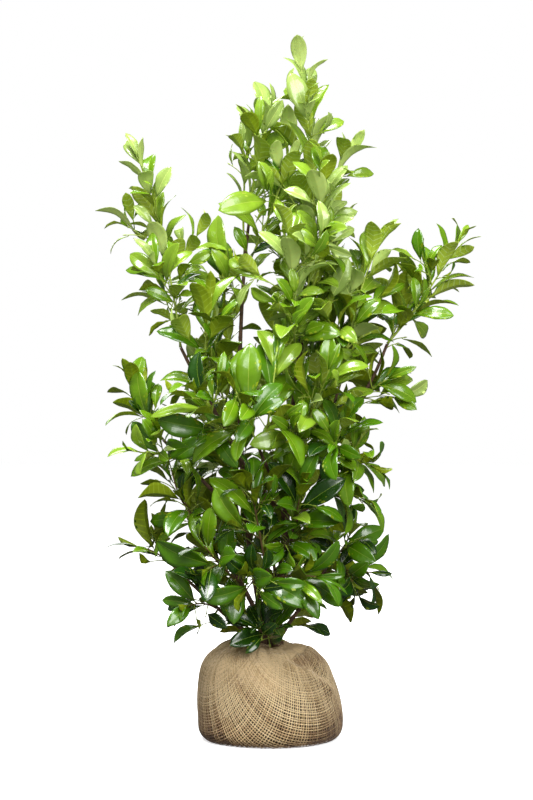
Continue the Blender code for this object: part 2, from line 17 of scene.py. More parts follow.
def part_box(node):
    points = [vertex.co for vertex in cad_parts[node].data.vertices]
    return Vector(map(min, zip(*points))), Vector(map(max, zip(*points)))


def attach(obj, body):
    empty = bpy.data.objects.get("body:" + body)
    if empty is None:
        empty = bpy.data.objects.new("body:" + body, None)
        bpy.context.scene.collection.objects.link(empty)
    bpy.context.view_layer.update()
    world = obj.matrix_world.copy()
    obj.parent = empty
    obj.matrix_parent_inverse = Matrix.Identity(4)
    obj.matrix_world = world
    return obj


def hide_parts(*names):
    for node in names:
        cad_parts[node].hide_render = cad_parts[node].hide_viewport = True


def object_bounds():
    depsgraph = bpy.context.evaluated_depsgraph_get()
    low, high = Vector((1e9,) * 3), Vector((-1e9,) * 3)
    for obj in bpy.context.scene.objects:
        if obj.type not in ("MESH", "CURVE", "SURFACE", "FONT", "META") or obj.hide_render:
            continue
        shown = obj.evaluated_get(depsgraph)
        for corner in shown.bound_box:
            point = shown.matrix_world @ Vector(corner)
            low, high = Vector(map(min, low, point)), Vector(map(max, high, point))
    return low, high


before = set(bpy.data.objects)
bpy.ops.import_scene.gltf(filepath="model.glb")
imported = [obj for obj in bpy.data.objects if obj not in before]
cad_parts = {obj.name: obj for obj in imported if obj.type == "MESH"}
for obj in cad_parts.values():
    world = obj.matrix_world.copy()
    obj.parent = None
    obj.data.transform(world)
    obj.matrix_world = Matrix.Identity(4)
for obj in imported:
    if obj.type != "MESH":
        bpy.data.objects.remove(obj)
CAD_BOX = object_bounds()

GAP = 0.0003  # clearance between neighbouring solids
WELD = 0.000001  # points nearer than this are one

# Root ball: a squat rounded body with a flat underside and a flat top for the stems
BALL_WIDTH = 0.330
BALL_DEPTH = 0.330
BALL_HEIGHT = 0.214
BALL_WAIST = 0.050  # height of its widest ring
BALL_RISE = 0.170  # from the waist up to where the unclipped form would close
BALL_FALL = 0.063  # and down
BALL_SQUARENESS = 2.6  # of its profile above the waist
BALL_SQUARENESS_BELOW = 3.7
BALL_TILT = 0.32  # how much lower the top lies on the right, per metre
BALL_LEAN = 0.09  # and how far it leans to the left, for each metre of its height above the waist
BALL_LUMP = 0.013  # lumps, as a share of the radius
# Lumps round it, phase, phase for each metre of height, share
BALL_WAVES = ((3, 2.9, 0.0, 0.5), (5, 1.9, 2.4, 0.5))

# Woody parts
LIMB_SIDES = 7
LIMB_STEP = 0.075  # length of one straight run of a limb
ROOT_FLARE = 1.45  # foot of a stem against its width just above
FLARE_HEIGHT = 0.012
CROOK = 0.004  # sideways wander of a limb
SEAT_REACH = 0.012  # size of the foot that is fitted to a carrier
SEAT_RANGE = (-0.012, 0.024)  # how far a foot may slide to its seat
SEAT_HALVINGS = 14
SEAT_SAMPLES = 24  # points measured along each edge of a foot

# Shoots
TWIG_SIDES = 3
TWIG_STEP = 0.050
STEM_WIDTHS = (0.0032, 0.0017)  # radius of a mass's stem at its foot and at its tip
TWIG_WIDTHS = (0.0019, 0.0014)  # and of a side twig
SHOOT_LEAST = 3  # fewest straight runs of a limb or of a mass's stem
BOW_TURNS = 8  # ways that a stem may bow to find free room
TWIG_EVERY = 0.085  # stem length that carries one side twig
TWIG_LAST = 0.75  # share of the stem where the last one leaves
TWIG_TAPER = 1.15  # side twigs shorten towards this share of the stem
TWIG_SWING = 0.4
TWIG_VARY = (0.8, 1.2)
TWIG_CLEAR_FROM = 0.25  # share of a side twig past which it keeps clear of its own mass too
TWIG_SHARE = 0.36  # side twig against the stem that it leaves
TWIG_SHORTEST = 0.055
TWIG_LONGEST = 0.110
TWIG_BOW = 0.05
TWIG_BARE = 0.35  # share of a side twig without leaves
TWIG_LEAN = math.radians(46)
GOLDEN = math.radians(137.5)  # turn from one leaf or twig to the next

# Leaves
LEAF_STEP = 0.0187  # distance between leaf roots along a shoot
LEAF_WIDTH = 0.46  # against its length
LEAF_WIDEST = 0.58  # place of the widest line along the leaf
LEAF_ARCH = 0.07
LEAF_KEEL = 0.0022  # midrib below the blade
LEAF_ROOT = 0.0016  # height of the root edge inside the twig
LEAF_LAST = 0.995  # share of a shoot where its last leaf sits
LEAF_TURN = 0.35  # stray turn of a leaf round its shoot
LEAF_SIZE = (0.78, 0.34, 0.9)  # least size, swell half way along the shoot, share where the swell ends
LEAF_SIZE_VARY = (0.85, 1.1)
LEAF_WIDTH_VARY = (0.9, 1.12)
OPEN_FOOT = math.radians(68)  # angle between leaf and shoot, at the shoot's foot and at its tip
OPEN_TIP = math.radians(36)
OPEN_CURVE = 1.4
RISE = 0.26  # how strongly a leaf grows upwards, for each metre of its height
OPEN_VARY = (0.55, 1.4)
LIGHT = 0.30  # how far a blade turns its face up to the light
FRONT = 0.12  # and to the nearer side of the crown, front or back
FRONT_UP_TO = 0.10
LEAF_ROLL = 0.60  # and how far it may roll about its midrib, in radians
LEAF_NECK = 0.16  # share of a leaf that may cross its own mass
CLEAR = 0.0014  # free space kept round a leaf or twig
TRIES = 6  # a crowded leaf is turned and made smaller, up to this many times
LEAF_SWING = 0.3
LEAF_SHRINK = 0.06
LOWEST_LEAF = 0.16  # no leaf hangs below this height

LEAF_FACES = ((0, 3, 2), (2, 3, 5), (1, 2, 4), (1, 4, 3), (2, 5, 4), (4, 5, 3), (0, 2, 1), (0, 1, 3))

# Added to a mass's seed for the draws of each kind
LEAF_DRAWS, SPUR_DRAWS, SPUR_LEAF_DRAWS, TIP_DRAWS, LOOK_DRAWS = 1000, 2000, 3000, 4000, 5000

Limb = namedtuple("Limb", "carrier share tip bow thick thin")
Mass = namedtuple("Mass", "carrier share tip bow bare leaf seed")

# Stems stand on the ball (share is then the foot's place on it); boughs leave another limb at a share of it
STEMS = {
    "trunk": Limb(None, (0.016, 0.0), (0.076, 0.01, 0.95), (-0.005, 0.008, 0), 0.012, 0.005),
    "rear_stem": Limb(None, (-0.009, 0.028), (-0.049, 0.045, 1.19), (-0.04, 0.022, 0), 0.0085, 0.0036),
    "left_stem": Limb(None, (-0.016, -0.013), (-0.149, -0.03, 0.485), (0.018, -0.006, 0), 0.007, 0.004),
}
BOUGHS = {
    "left_bough": Limb("trunk", 0.45, (-0.199, -0.03, 0.896), (-0.012, -0.033, 0), 0.0065, 0.0038),
    "outer_left_bough": Limb("rear_stem", 0.32, (-0.241, -0.01, 0.686), (0, -0.01, 0.005), 0.0052, 0.0036),
    "lower_left_bough": Limb("left_stem", 0.2, (-0.2, -0.045, 0.383), (0, -0.01, -0.004), 0.005, 0.0036),
    "right_bough": Limb("trunk", 0.39, (0.128, -0.02, 0.663), (0.008, -0.01, -0.004), 0.0072, 0.0055),
    "outer_right_bough": Limb("right_bough", 1.0, (0.269, 0.0, 0.904), (0.01, 0, 0), 0.0052, 0.0036),
    "inner_right_bough": Limb("right_bough", 0.86, (0.173, -0.04, 0.85), (-0.004, 0, 0), 0.0042, 0.0034),
    "lower_right_bough": Limb("trunk", 0.12, (0.132, 0.02, 0.403), (0.004, 0, -0.004), 0.005, 0.0036),
    "back_bough": Limb("trunk", 0.47, (0.048, 0.18, 0.717), (0, 0.018, -0.016), 0.006, 0.0038),
    "front_bough": Limb("trunk", 0.5, (-0.027, -0.125, 0.677), (0, -0.018, -0.008), 0.0052, 0.0036),
    "lower_back_bough": Limb("trunk", 0.17, (0.01, 0.15, 0.4), (0, 0.014, -0.01), 0.0052, 0.0036),
    "lower_front_bough": Limb("trunk", 0.2, (-0.012, -0.11, 0.42), (0, -0.014, -0.008), 0.005, 0.0036),
}
LIMBS = {**STEMS, **BOUGHS}
MASSES = {
    "leader": Mass("trunk", 1.0, (0.072, -0.02, 1.535), (0.026, 0, 0), 0.04, 0.11, 314),
    "rear_leader": Mass("rear_stem", 1.0, (-0.002, 0.035, 1.431), (-0.008, 0, 0), 0.1, 0.125, 365),
    "rear_twin": Mass("rear_stem", 0.93, (-0.042, 0.08, 1.413), (-0.01, 0.012, 0), 0.25, 0.09, 365),
    "crossing": Mass("rear_stem", 0.9, (0.039, -0.015, 1.314), (0, 0, -0.01), 0.25, 0.12, 66),
    "window_spray": Mass("rear_stem", 0.82, (-0.1, 0.01, 1.075), (0, 0, -0.008), 0.15, 0.15, 661),
    "top_left": Mass("left_bough", 1.0, (-0.299, -0.01, 1.324), (0.012, 0, 0), 0.06, 0.102, 2400),
    "front_high": Mass("trunk", 0.95, (0.119, -0.1, 1.286), (0.012, -0.015, 0), 0.12, 0.105, 345),
    "right_high": Mass("trunk", 0.9, (0.163, 0.11, 1.178), (0.01, 0.015, 0), 0.15, 0.104, 11),
    "front_mid_high": Mass("trunk", 0.86, (0.044, -0.14, 1.161), (0, -0.03, 0), 0.15, 0.11, 214),
    "back_high": Mass("trunk", 0.88, (0.081, 0.16, 1.242), (-0.01, 0.03, 0), 0.25, 0.104, 325),
    "left_inner": Mass("left_bough", 0.78, (-0.14, -0.07, 0.985), (0, -0.01, 0), 0.15, 0.12, 3),
    "top_right": Mass("outer_right_bough", 1.0, (0.43, -0.01, 1.135), (0, 0, -0.012), 0.06, 0.102, 1218),
    "right_tip": Mass("inner_right_bough", 1.0, (0.238, -0.06, 1.113), (-0.01, -0.005, 0), 0.05, 0.12, 387),
    "right_back_tip": Mass("outer_right_bough", 0.9, (0.335, 0.085, 1.03), (0, 0.01, 0), 0.15, 0.12, 193),
    "right_lateral": Mass("outer_right_bough", 0.45, (0.262, -0.06, 0.822), (0, 0, 0.006), 0.2, 0.102, 515),
    "far_left": Mass("outer_left_bough", 1.0, (-0.312, -0.025, 0.809), (-0.01, 0, 0), 0.05, 0.102, 189),
    "left_shelf": Mass("outer_left_bough", 0.75, (-0.29, -0.105, 0.66), (0, 0, 0.004), 0.15, 0.105, 231),
    "left_front": Mass("left_bough", 0.45, (-0.159, -0.19, 0.795), (0, -0.012, 0), 0.15, 0.12, 271),
    "front_centre": Mass("front_bough", 1.0, (-0.075, -0.215, 0.795), (0, -0.01, 0), 0.1, 0.12, 208),
    "centre_front": Mass("front_bough", 0.85, (0.01, -0.15, 0.85), (0, -0.014, 0), 0.15, 0.12, 258),
    "front_right": Mass("trunk", 0.62, (0.128, -0.17, 0.839), (0, -0.014, -0.01), 0.15, 0.12, 439),
    "left_column": Mass("rear_stem", 0.5, (-0.125, -0.01, 0.95), (-0.016, 0.006, 0), 0.3, 0.12, 379),
    "right_column": Mass("trunk", 0.66, (0.149, 0.055, 0.991), (0.016, 0.008, 0), 0.3, 0.12, 409),
    "right_shelf": Mass("right_bough", 0.93, (0.224, -0.1, 0.63), (0, 0, 0.012), 0.15, 0.104, 422),
    "right_low_shelf": Mass("right_bough", 0.5, (0.202, -0.12, 0.56), (0, 0, 0.01), 0.15, 0.104, 379),
    "right_front": Mass("right_bough", 0.75, (0.165, -0.155, 0.728), (0, -0.01, 0), 0.15, 0.104, 281),
    "mid_left": Mass("left_stem", 1.0, (-0.224, -0.03, 0.613), (-0.012, 0, -0.006), 0.1, 0.13, 462),
    "low_left_reach": Mass("lower_left_bough", 1.0, (-0.3, -0.02, 0.44), (0, 0, 0.012), 0.08, 0.105, 443),
    "low_left_front": Mass("lower_left_bough", 0.55, (-0.178, -0.14, 0.32), (0, 0, 0.006), 0.15, 0.104, 348),
    "low_front_left": Mass("left_stem", 0.62, (-0.143, -0.155, 0.45), (0, 0, -0.006), 0.15, 0.12, 164),
    "low_front": Mass("lower_front_bough", 0.8, (-0.05, -0.17, 0.36), (0, 0, 0.006), 0.15, 0.12, 150),
    "low_front_right": Mass("lower_front_bough", 0.62, (0.095, -0.15, 0.385), (0, -0.01, 0.006),
                            0.15, 0.12, 412),
    "mid_front_left": Mass("lower_front_bough", 1.0, (-0.045, -0.17, 0.6), (0, -0.014, 0), 0.1, 0.12, 442),
    "mid_front_right": Mass("trunk", 0.34, (0.07, -0.16, 0.58), (0, 0, -0.01), 0.15, 0.12, 144),
    "low_right_up": Mass("lower_right_bough", 1.0, (0.184, 0.0, 0.47), (0.006, 0, -0.004), 0.1, 0.105, 141),
    "low_right_reach": Mass("lower_right_bough", 0.85, (0.225, -0.04, 0.385), (0, 0, 0.006),
                            0.15, 0.104, 423),
    "basal_sprout": Mass("trunk", 0.035, (-0.022, -0.095, 0.262), (0, 0, 0.004), 0.3, 0.1, 358),
    "back_low_left": Mass("lower_back_bough", 1.0, (-0.092, 0.225, 0.43), (0, 0.01, -0.006), 0.29, 0.12, 312),
    "back_low_right": Mass("lower_back_bough", 0.82, (0.115, 0.205, 0.425), (0, 0.012, 0), 0.29, 0.12, 207),
    "back_centre": Mass("trunk", 0.34, (0.03, 0.21, 0.585), (0, 0.01, -0.008), 0.29, 0.12, 269),
    "back_mid_left": Mass("rear_stem", 0.4, (-0.15, 0.215, 0.72), (0, 0.014, -0.012), 0.29, 0.12, 303),
    "back_mid_right": Mass("back_bough", 0.75, (0.15, 0.215, 0.735), (0, 0.012, -0.008), 0.29, 0.12, 42),
    "back_top": Mass("back_bough", 1.0, (0.025, 0.255, 0.93), (0, 0.012, 0), 0.24, 0.12, 63),
    "back_high_left": Mass("rear_stem", 0.66, (-0.11, 0.175, 1.04), (-0.01, 0.014, 0), 0.28, 0.104, 127),
    "back_high_right": Mass("trunk", 0.8, (0.15, 0.185, 1.06), (0, 0.016, 0), 0.28, 0.12, 369),
}

# ---- sizes of the looks

# Finer shoots, which the solids leave out
SPUR_EVERY = 0.017  # shoot length that carries one spur
SPUR_KEPT = (1.1, 0.10)  # share of them that grow, at the ground and at the top
SPUR_SHARES = (0.03, 0.92)  # stretch of a shoot that carries spurs
SPUR_REACH = (0.022, 0.052)
SPUR_LEAN = math.radians(52)
SPUR_WIDTHS = (0.0013, 0.0009)  # radius at a spur's foot and tip
SPUR_LEAF = 0.70  # a spur's leaves against those of its mass
SPUR_BARE = 0.30
SPUR_VARY = (0.7, 1.2)
SPUR_BOW = 0.06
SPUR_CLEAR_FROM = 0.3  # share of a spur past which it keeps clear of everything
INNER_EVERY = 0.036  # leafy spurs of the limbs themselves, inside the crown
INNER_REACH = (0.045, 0.100)
INNER_LEAF = 0.130
INNER_TOP = 0.86
INNER_BOX = CAD_BOX[0], Vector((CAD_BOX[1].x, CAD_BOX[1].y, INNER_TOP))
INNER = {name: Mass(limb.carrier, limb.share, limb.tip, limb.bow, 0, INNER_LEAF, sum(map(ord, name)))
         for name, limb in LIMBS.items()}
TIP_LEAF = 0.80  # the youngest leaves at a shoot's end, long, narrow and folded upright
TIP_WIDTH = 0.30
TIP_LEAST = 0.030
TIP_OPEN = math.radians(9)
TIP_OPEN_VARY = (0.8, 2.5)
TIP_VARY = (0.6, 1.1)
TIP_COUNTS = (1, 2, 2)  # leaves at a tip, drawn from these
TIP_SHRINK = 0.85
TIP_SUNK = 0.002  # how far they start below the shoot's end
REACH_SPARE = 0.012  # how far finer growth may pass the box of its mass

# A living leaf
ROWS_CLOSE = 1.25  # rows lie closer towards the tip
OUTLINE_FOOT = 1.12  # narrow wedge at the foot, blunt at the tip
OUTLINE_END = 0.76
LARGE_LEAF = (15, (1, 0.68, 0.36, 0, 0, 0.36, 0.68, 1))  # rows, and columns from edge to edge;
SMALL_LEAF = (9, (1, 0.55, 0, 0, 0.55, 1))  # the zeros are the edges of the midrib
BLADE_WIDTH = 0.80  # of the room that the solid leaf takes
BLADE_THICK = 0.0005
EDGE_THIN = 0.5  # how much thinner its margin is
STALK = 0.085  # leaf stalk against the whole leaf
STALK_RADIUS = 0.0011
STALK_SIDES = 6
STALK_SAG = 0.0006
STALK_INTO = 0.001  # how far it runs into the blade
RIB_WIDTHS = (0.0009, 0.00022)  # half width of the midrib at its foot and tip
RIB_SUNK = 0.0004
RIB_PROUD = 0.0009
RIB_FADE = 0.6  # how much flatter it is at the tip
VEIN_DEPTH = 0.0005
VEIN_WIDE = 0.15  # a side vein against the distance to the next
VEIN_LAG = 1.10  # how far the side veins run forward, against the half width
BLADE_FOLD = (0.16, 0.55)  # slope of the two halves up from the midrib
BLADE_CURL = (0.02, 0.16)  # margins rolled down, against the half width
BLADE_ARCH = (0.05, 0.11)
BLADE_NOD = (0.03, 0.15)  # tip bent back, against the length
BLADE_DROOP = 0.035  # sag by its own weight
BLADE_WAVE = 0.0011
BLADE_WAVES = (1.5, 3.0)  # waves along a margin
RIB_ROOM = 1.2  # the outline's least half width, against the midrib's
BLADE_TWIST = 0.35
BLADE_HOOK = 0.035  # tip drawn to one side, against the length
NOD_FROM = 0.45  # share of the blade where the tip starts to bend back

# Shoots and buds
SHOOT_SIDES = 8
SHOOT_SMOOTH = 0.008  # step of a smooth shoot
STEM_LOOK = 0.80  # living shoots against the solid ones
SIDE_FOOT = 1.2  # foot of a mass's stem on the side of a limb, against its thickness
NODE_SWELL = 0.16
BUD_LENGTH = 0.0075
BUD_RADIUS = 0.0017
BUD_FORM = ((-0.2, 0.6), (0.15, 1.0), (0.45, 0.9), (0.75, 0.55), (1.0, 0.08))  # place along it, width there

# Bark
BARK_SIDES = 16
BARK_STEP = 0.005
BARK_RIDGE = 0.035  # relief against the radius
BARK_FINE = 0.4  # share of it in the fine grooves
BARK_SCAR_EVERY = 0.026  # old leaf scars along a limb
BARK_SCAR = (0.0022, 0.035, 0.12)  # half length, relief all round, relief on its own side
BARK_LOBES = (2, 3, 5, 7)  # ridges round the limb
BARK_LOOK_WIDTH = 0.94  # against the solid limb
FLARE_LOBES = 0.35  # how much the root flare swells and shrinks round the stem
FOOT_SUNK = 0.8  # how far a limb starts inside its carrier
COLLAR_SWELL = 0.40  # branch collar
COLLAR_LENGTH = 0.012

# Root ball
NET_PITCH = 0.0062  # from thread to thread where the cloth lies flat
NET_WIDTH = 0.0016  # half width of a thread
NET_THICK = 0.0007
NET_LIFT = 0.0006
NET_WAVE = 0.0006  # over and under
CLOTH_LOOSE = math.radians(-52)  # azimuth where the cloth is pulled flat
CLOTH_SLACK = 0.22  # how much denser it lies on the far side
CORE_DEEP = 0.0026  # soil below the threads
NECK_RADIUS = 0.040
WRINKLES = (((0.030, -0.105, 0.172), (0.138, -0.075, 0.120), 0.013, 0.009),  # start, end, width, height
            ((0.045, -0.085, 0.186), (0.118, -0.065, 0.158), 0.015, -0.011),
            ((0.090, 0.000, 0.185), (0.125, 0.030, 0.170), 0.032, 0.011),
            ((-0.125, -0.020, 0.162), (-0.095, 0.045, 0.178), 0.030, 0.008),
            ((-0.100, -0.090, 0.160), (-0.030, -0.120, 0.172), 0.016, 0.006))
NECK_RISE = 0.011  # how far its left side stands up, and its right side lies down
NECK_LEFT = 0.5
NECK_SPREAD = 0.016  # width of the raised ring
NECK_DIP = 0.02  # how deep the cloth sinks between the stems
NECK_HOLE = 0.018
PLEATS = ((23, 1, 0), (41, 0.6, 2), (13, 0.5, 4))  # fine gathers round the neck: count, share, phase
PLEAT_DEEP = 0.0022
NET_HALF = 0.60  # half the side of the cloth
NET_SIDES = 3
NET_SHORTEST = 4  # points that a thread needs to be drawn
NET_NECK = 0.088  # threads are gathered out of sight nearer the stems than this
FOLDS = (  # azimuth, lean, width, height, polar angle where each begins
    (-35, 0.5, 0.16, 0.0050, 2.00), (-8, -0.3, 0.20, 0.0060, 1.90), (-75, 0.3, 0.14, 0.0030, 2.10),
    (-118, 0.2, 0.15, 0.0040, 2.00), (-142, 0.1, 0.13, 0.0035, 1.95), (-168, -0.2, 0.16, 0.0050, 1.85),
    (150, 0.2, 0.20, 0.0045, 1.90), (112, -0.3, 0.16, 0.0050, 1.95), (74, 0.2, 0.20, 0.0040, 1.95),
    (38, 0.3, 0.16, 0.0055, 1.90))
FOLD_POLAR = 1.9  # where a leaning fold crosses its azimuth
FOLD_RUN = 0.5  # angle over which a fold rises
GATHER_RADIUS = 0.150  # the cloth is gathered nearer the stems than this,
GATHER_POLAR = 1.7  # on the ball's upper side
SLOPE_STEP = 0.004  # angle over which the ball's slope is measured
CLOTH_LOWEST = 0.0002
NET_LOWEST = 0.0012  # threads show above this height
NET_WANDER = 0.12  # stray and slow sway of a thread, against the pitch
NET_SWAY = 0.10
NET_VARY = (0.8, 1.2)  # of a thread's width
NET_TONE = 0.25  # and of its tone
JUTE_TONE = 0.12  # clean cloth; then darkening towards the ground, the lowest band a painted contact shadow: where each begins, distance to its full depth, depth
GROUND_DARKENING_AND_PAINTED_SHADOW = ((0.085, 0.10, 0.45), (0.020, 0.020, 0.4))
SIDE_STAIN = 0.4, 0.35  # depth on the left foot and on the right
SHOULDER_FOLD_PAINTED_SHADE = 0.082, 0.045, 0.186, 0.018, 0.4  # painted shade of a fold: middle and width across, then in height, and depth
SOIL_LUMP = 0.0006
COVER_DEEP = 0.85  # how much nearer the threads the inner cloth lies than the soil
FIBRES = 90
FIBRE_RING = (0.75, 1.5)  # distance from the ball's middle, against the neck's
FIBRE_FOOT = 0.004  # height above the ball
FIBRE_STRAY = 1.2
FIBRE_RISE = (-0.2, 1.0)
FIBRE_SAG = 0.006
FIBRE_LENGTH = (0.008, 0.022)
FIBRE_RADII = (0.0005, 0.00045, 0.0004, 0.0003, 0.0002)
CORE_GRID = (84, 190)  # rows and columns of the soil's mesh

# Colours as seen, from dark and low to pale and high; RGB out of 255. Leaves take their tone by height:
# partly their own colour, partly painted light, with painted shade low in the crown and a painted backlit
# glow at the top
UPPER_TONES = ((28, 64, 4), (68, 112, 4), (98, 138, 14), (124, 158, 38), (150, 176, 86))
UNDER_TONES = ((94, 110, 6), (116, 134, 8), (140, 160, 24), (164, 186, 56), (190, 212, 120))
RIB_TONES = ((112, 140, 36), (146, 170, 52), (194, 210, 112))
JUTE_TONES = ((216, 190, 144), (194, 165, 118), (172, 141, 98), (138, 106, 68), (102, 74, 46))
INNER_CLOTH_TONES = ((168, 138, 98), (222, 198, 156))
BUMP_DEEP = 0.001
BARK_TONE = (92, 66, 48)
GREEN_TONE = (150, 170, 62)  # of young shoots, and of older ones
BROWN_TONE = (104, 82, 46)
SOIL = (52, 36, 20)

# Picture
CAMERA_PLACE = (-0.008, -4.5, 0.777)
VIEW_HEIGHT = 1.84  # of the picture, at the plant
SENSOR = 36.0
FLOOR_HALF = 20.0
SKY = 0.36  # light of the surroundings, which look plain white
SKY_GLOSS = 0.12  # and what gloss mirrors of them
FLOOR_GLOW = 0.66
LIGHTS = (("top_light", (-1.2, -2.0, 6.4), 0.9, 3.2, 640.0),  # name, place, height aimed at, size, power
          ("front_light", (1.6, -4.0, 2.6), 0.8, 3.0, 200.0),
          ("back_light", (-1.0, 4.5, 3.0), 0.8, 3.0, 110.0))
YOUNG_FROM = 0.80
GREEN_FROM = 0.55
TONE_VARY = 0.70  # spread of a leaf's tone about that of its height
MASS_VARY = 0.5  # and of a mass's
LOWEST_TONE = 0.10  # heights of the darkest and the palest leaves; this ramp is partly the leaves' own colour and partly painted light, painted shade low down and a painted backlit glow high up
HIGHEST_TONE = 1.62
PIECE_TRIANGLES = 150000


def new_object(name, data):
    thing = bpy.data.objects.new(name, data)
    bpy.context.scene.collection.objects.link(thing)
    return thing


def evaluated_mesh(thing):
    graph = bpy.context.evaluated_depsgraph_get()
    return bpy.data.meshes.new_from_object(thing.evaluated_get(graph))


def tidy_mesh(mesh):
    """Weld the seams of a mesh and turn its faces outwards."""
    form = bmesh.new()
    form.from_mesh(mesh)
    bmesh.ops.remove_doubles(form, verts=form.verts, dist=WELD)
    bmesh.ops.recalc_face_normals(form, faces=form.faces)
    form.to_mesh(mesh)
    form.free()


def shape_of(mesh):
    return [vertex.co.copy() for vertex in mesh.vertices], [tuple(face.vertices) for face in mesh.polygons]


def tree_of(mesh):
    return BVHTree.FromPolygons(*shape_of(mesh))


def bowed(foot, tip, bow, step, least=SHOOT_LEAST, crook=0.0, seed=0):
    """Points from foot to tip: a line that bows half way and wanders a little to each side."""
    reach = tip - foot
    runs = max(least, round(reach.length / step))
    wander = random.Random(seed)
    sway = [Vector((wander.uniform(-1, 1), wander.uniform(-1, 1), 0)) * crook for _ in range(2)]
    points = []
    for index in range(runs + 1):
        t = index / runs
        held = math.sin(math.pi * t)
        bend = sway[0] * math.sin(math.tau * t) + sway[1] * math.sin(2 * math.tau * t)
        points.append(foot + reach * t + bow * (4 * t * (1 - t)) + bend * held)
    return points


def along(points, share):
    """Place and direction at a share of a chain of points."""
    place = min(max(share, 0.0), 1.0) * (len(points) - 1)
    index = min(int(place), len(points) - 2)
    run = points[index + 1] - points[index]
    return points[index] + run * (place - index), run.normalized()


def chain_length(points):
    return sum((b - a).length for a, b in zip(points, points[1:]))


def turned(axis, angle):
    """A direction square to an axis, turned about it by an angle."""
    side = axis.cross(Vector((1, 0, 0)) if abs(axis.x) < 0.7 else Vector((0, 1, 0))).normalized()
    return Matrix.Rotation(angle, 3, axis) @ side


def leaning(way, azimuth, angle):
    """A direction that leans away from another by an angle, towards an azimuth about it."""
    return way * math.cos(angle) + turned(way, azimuth) * math.sin(angle)


def spread(low, high, share):
    return low + (high - low) * share


def tapered(thick, thin, points, extra=0.0):
    """The radius at each point of a limb or shoot."""
    return [spread(thick, thin, index / (len(points) - 1)) + extra for index in range(len(points))]


def section(sides):
    """The polygon that a tapering limb is swept from, one unit in radius."""
    name = f"section_{sides}"
    if name in bpy.data.objects:
        return bpy.data.objects[name]
    outline = bpy.data.curves.new(name, "CURVE")
    spline = outline.splines.new("POLY")
    spline.points.add(sides - 1)
    for index, point in enumerate(spline.points):
        angle = math.tau * index / sides
        point.co = (math.cos(angle), math.sin(angle), 0, 1)
    spline.use_cyclic_u = True
    guide = new_object(name, outline)
    guide.hide_render = True
    guide.display_type = "WIRE"
    return guide


def swept(points, radii, sides=TWIG_SIDES):
    """A tapering limb with flat ends: a curve swept with a polygon, made a closed mesh."""
    curve = bpy.data.curves.new("guide", "CURVE")
    curve.dimensions = "3D"
    curve.bevel_mode = "OBJECT"
    curve.bevel_object = section(sides)
    curve.use_fill_caps = True
    spline = curve.splines.new("POLY")
    spline.points.add(len(points) - 1)
    for knot, place, radius in zip(spline.points, points, radii):
        knot.co = (*place, 1)
        knot.radius = radius
    guide = new_object("guide", curve)
    mesh = evaluated_mesh(guide)
    bpy.data.objects.remove(guide)
    tidy_mesh(mesh)
    return mesh


def edge_samples(mesh, foot):
    """Points along the edges at a limb's foot, closer together towards the foot."""
    samples = []
    for edge in mesh.edges:
        near, far = sorted((mesh.vertices[index].co for index in edge.vertices),
                           key=lambda end: (end - foot).length)
        if (near - foot).length < SEAT_REACH:
            samples += [near.lerp(far, (index / SEAT_SAMPLES) ** 2) for index in range(SEAT_SAMPLES + 1)]
    return samples


def gap_between(mesh, tree, other, foot):
    """Smallest distance from mesh to a neighbour (its tree and mesh), or -1 where they cross."""
    own = tree_of(mesh)
    if own.overlap(tree):
        return -1.0
    near = [vertex.co for vertex in other.vertices if (vertex.co - foot).length < LIMB_STEP]
    there = min(tree.find_nearest(place)[3] for place in edge_samples(mesh, foot))
    back = min((own.find_nearest(place)[3] for place in near), default=1.0)
    return min(there, back)


def seat(mesh, carrier, foot, way):
    """Slide a mesh along a way, out of its carrier, until the gap between them is GAP."""
    tree = tree_of(carrier)
    inside, outside = SEAT_RANGE
    placed = 0.0
    for _ in range(SEAT_HALVINGS):
        middle = (inside + outside) / 2
        mesh.transform(Matrix.Translation(way * (middle - placed)))
        placed = middle
        if gap_between(mesh, tree, carrier, foot + way * middle) < GAP:
            inside = middle
        else:
            outside = middle
    mesh.transform(Matrix.Translation(way * (outside - placed)))
    return way * outside


def limb_chain(name, foot, limb):
    """Points of a stem or bough, up from its foot."""
    return bowed(foot, Vector(limb.tip), Vector(limb.bow), LIMB_STEP, crook=CROOK, seed=sum(map(ord, name)))


def leaf_solid(root, way, up, length, width, extra=0.0, start=0.0):
    """Six corners of a leaf: root edge, left, right, keel and tip. Extra swells it, start trims its foot."""
    side = way.cross(up).normalized()
    belly = root + way * (length * LEAF_WIDEST) + up * (length * LEAF_ARCH)
    foot = root + way * (length * start)
    half = width / 2 + extra
    return (foot + up * (LEAF_ROOT / 2 + extra),
            foot - up * (LEAF_ROOT / 2 + extra),
            belly - side * half + up * extra,
            belly + side * half + up * extra,
            belly - up * (LEAF_KEEL + extra),
            root + way * (length + extra))


class Space:
    """What already fills the space, face by face, and which limb or mass each face belongs to."""

    def __init__(self):
        self.points, self.faces, self.owners = [], [], []
        self.tree = None

    def add(self, owner, points, faces):
        offset = len(self.points)
        self.points += [tuple(point) for point in points]
        self.faces += [tuple(offset + index for index in face) for face in faces]
        self.owners += [owner] * len(faces)
        self.tree = BVHTree.FromPolygons(self.points, self.faces)

    def is_free(self, points, faces, apart_from=None):
        """Whether a form crosses nothing here, or nothing but what belongs to one owner."""
        crossed = self.tree.overlap(BVHTree.FromPolygons([tuple(point) for point in points], faces))
        return all(self.owners[index] == apart_from for index, _ in crossed)


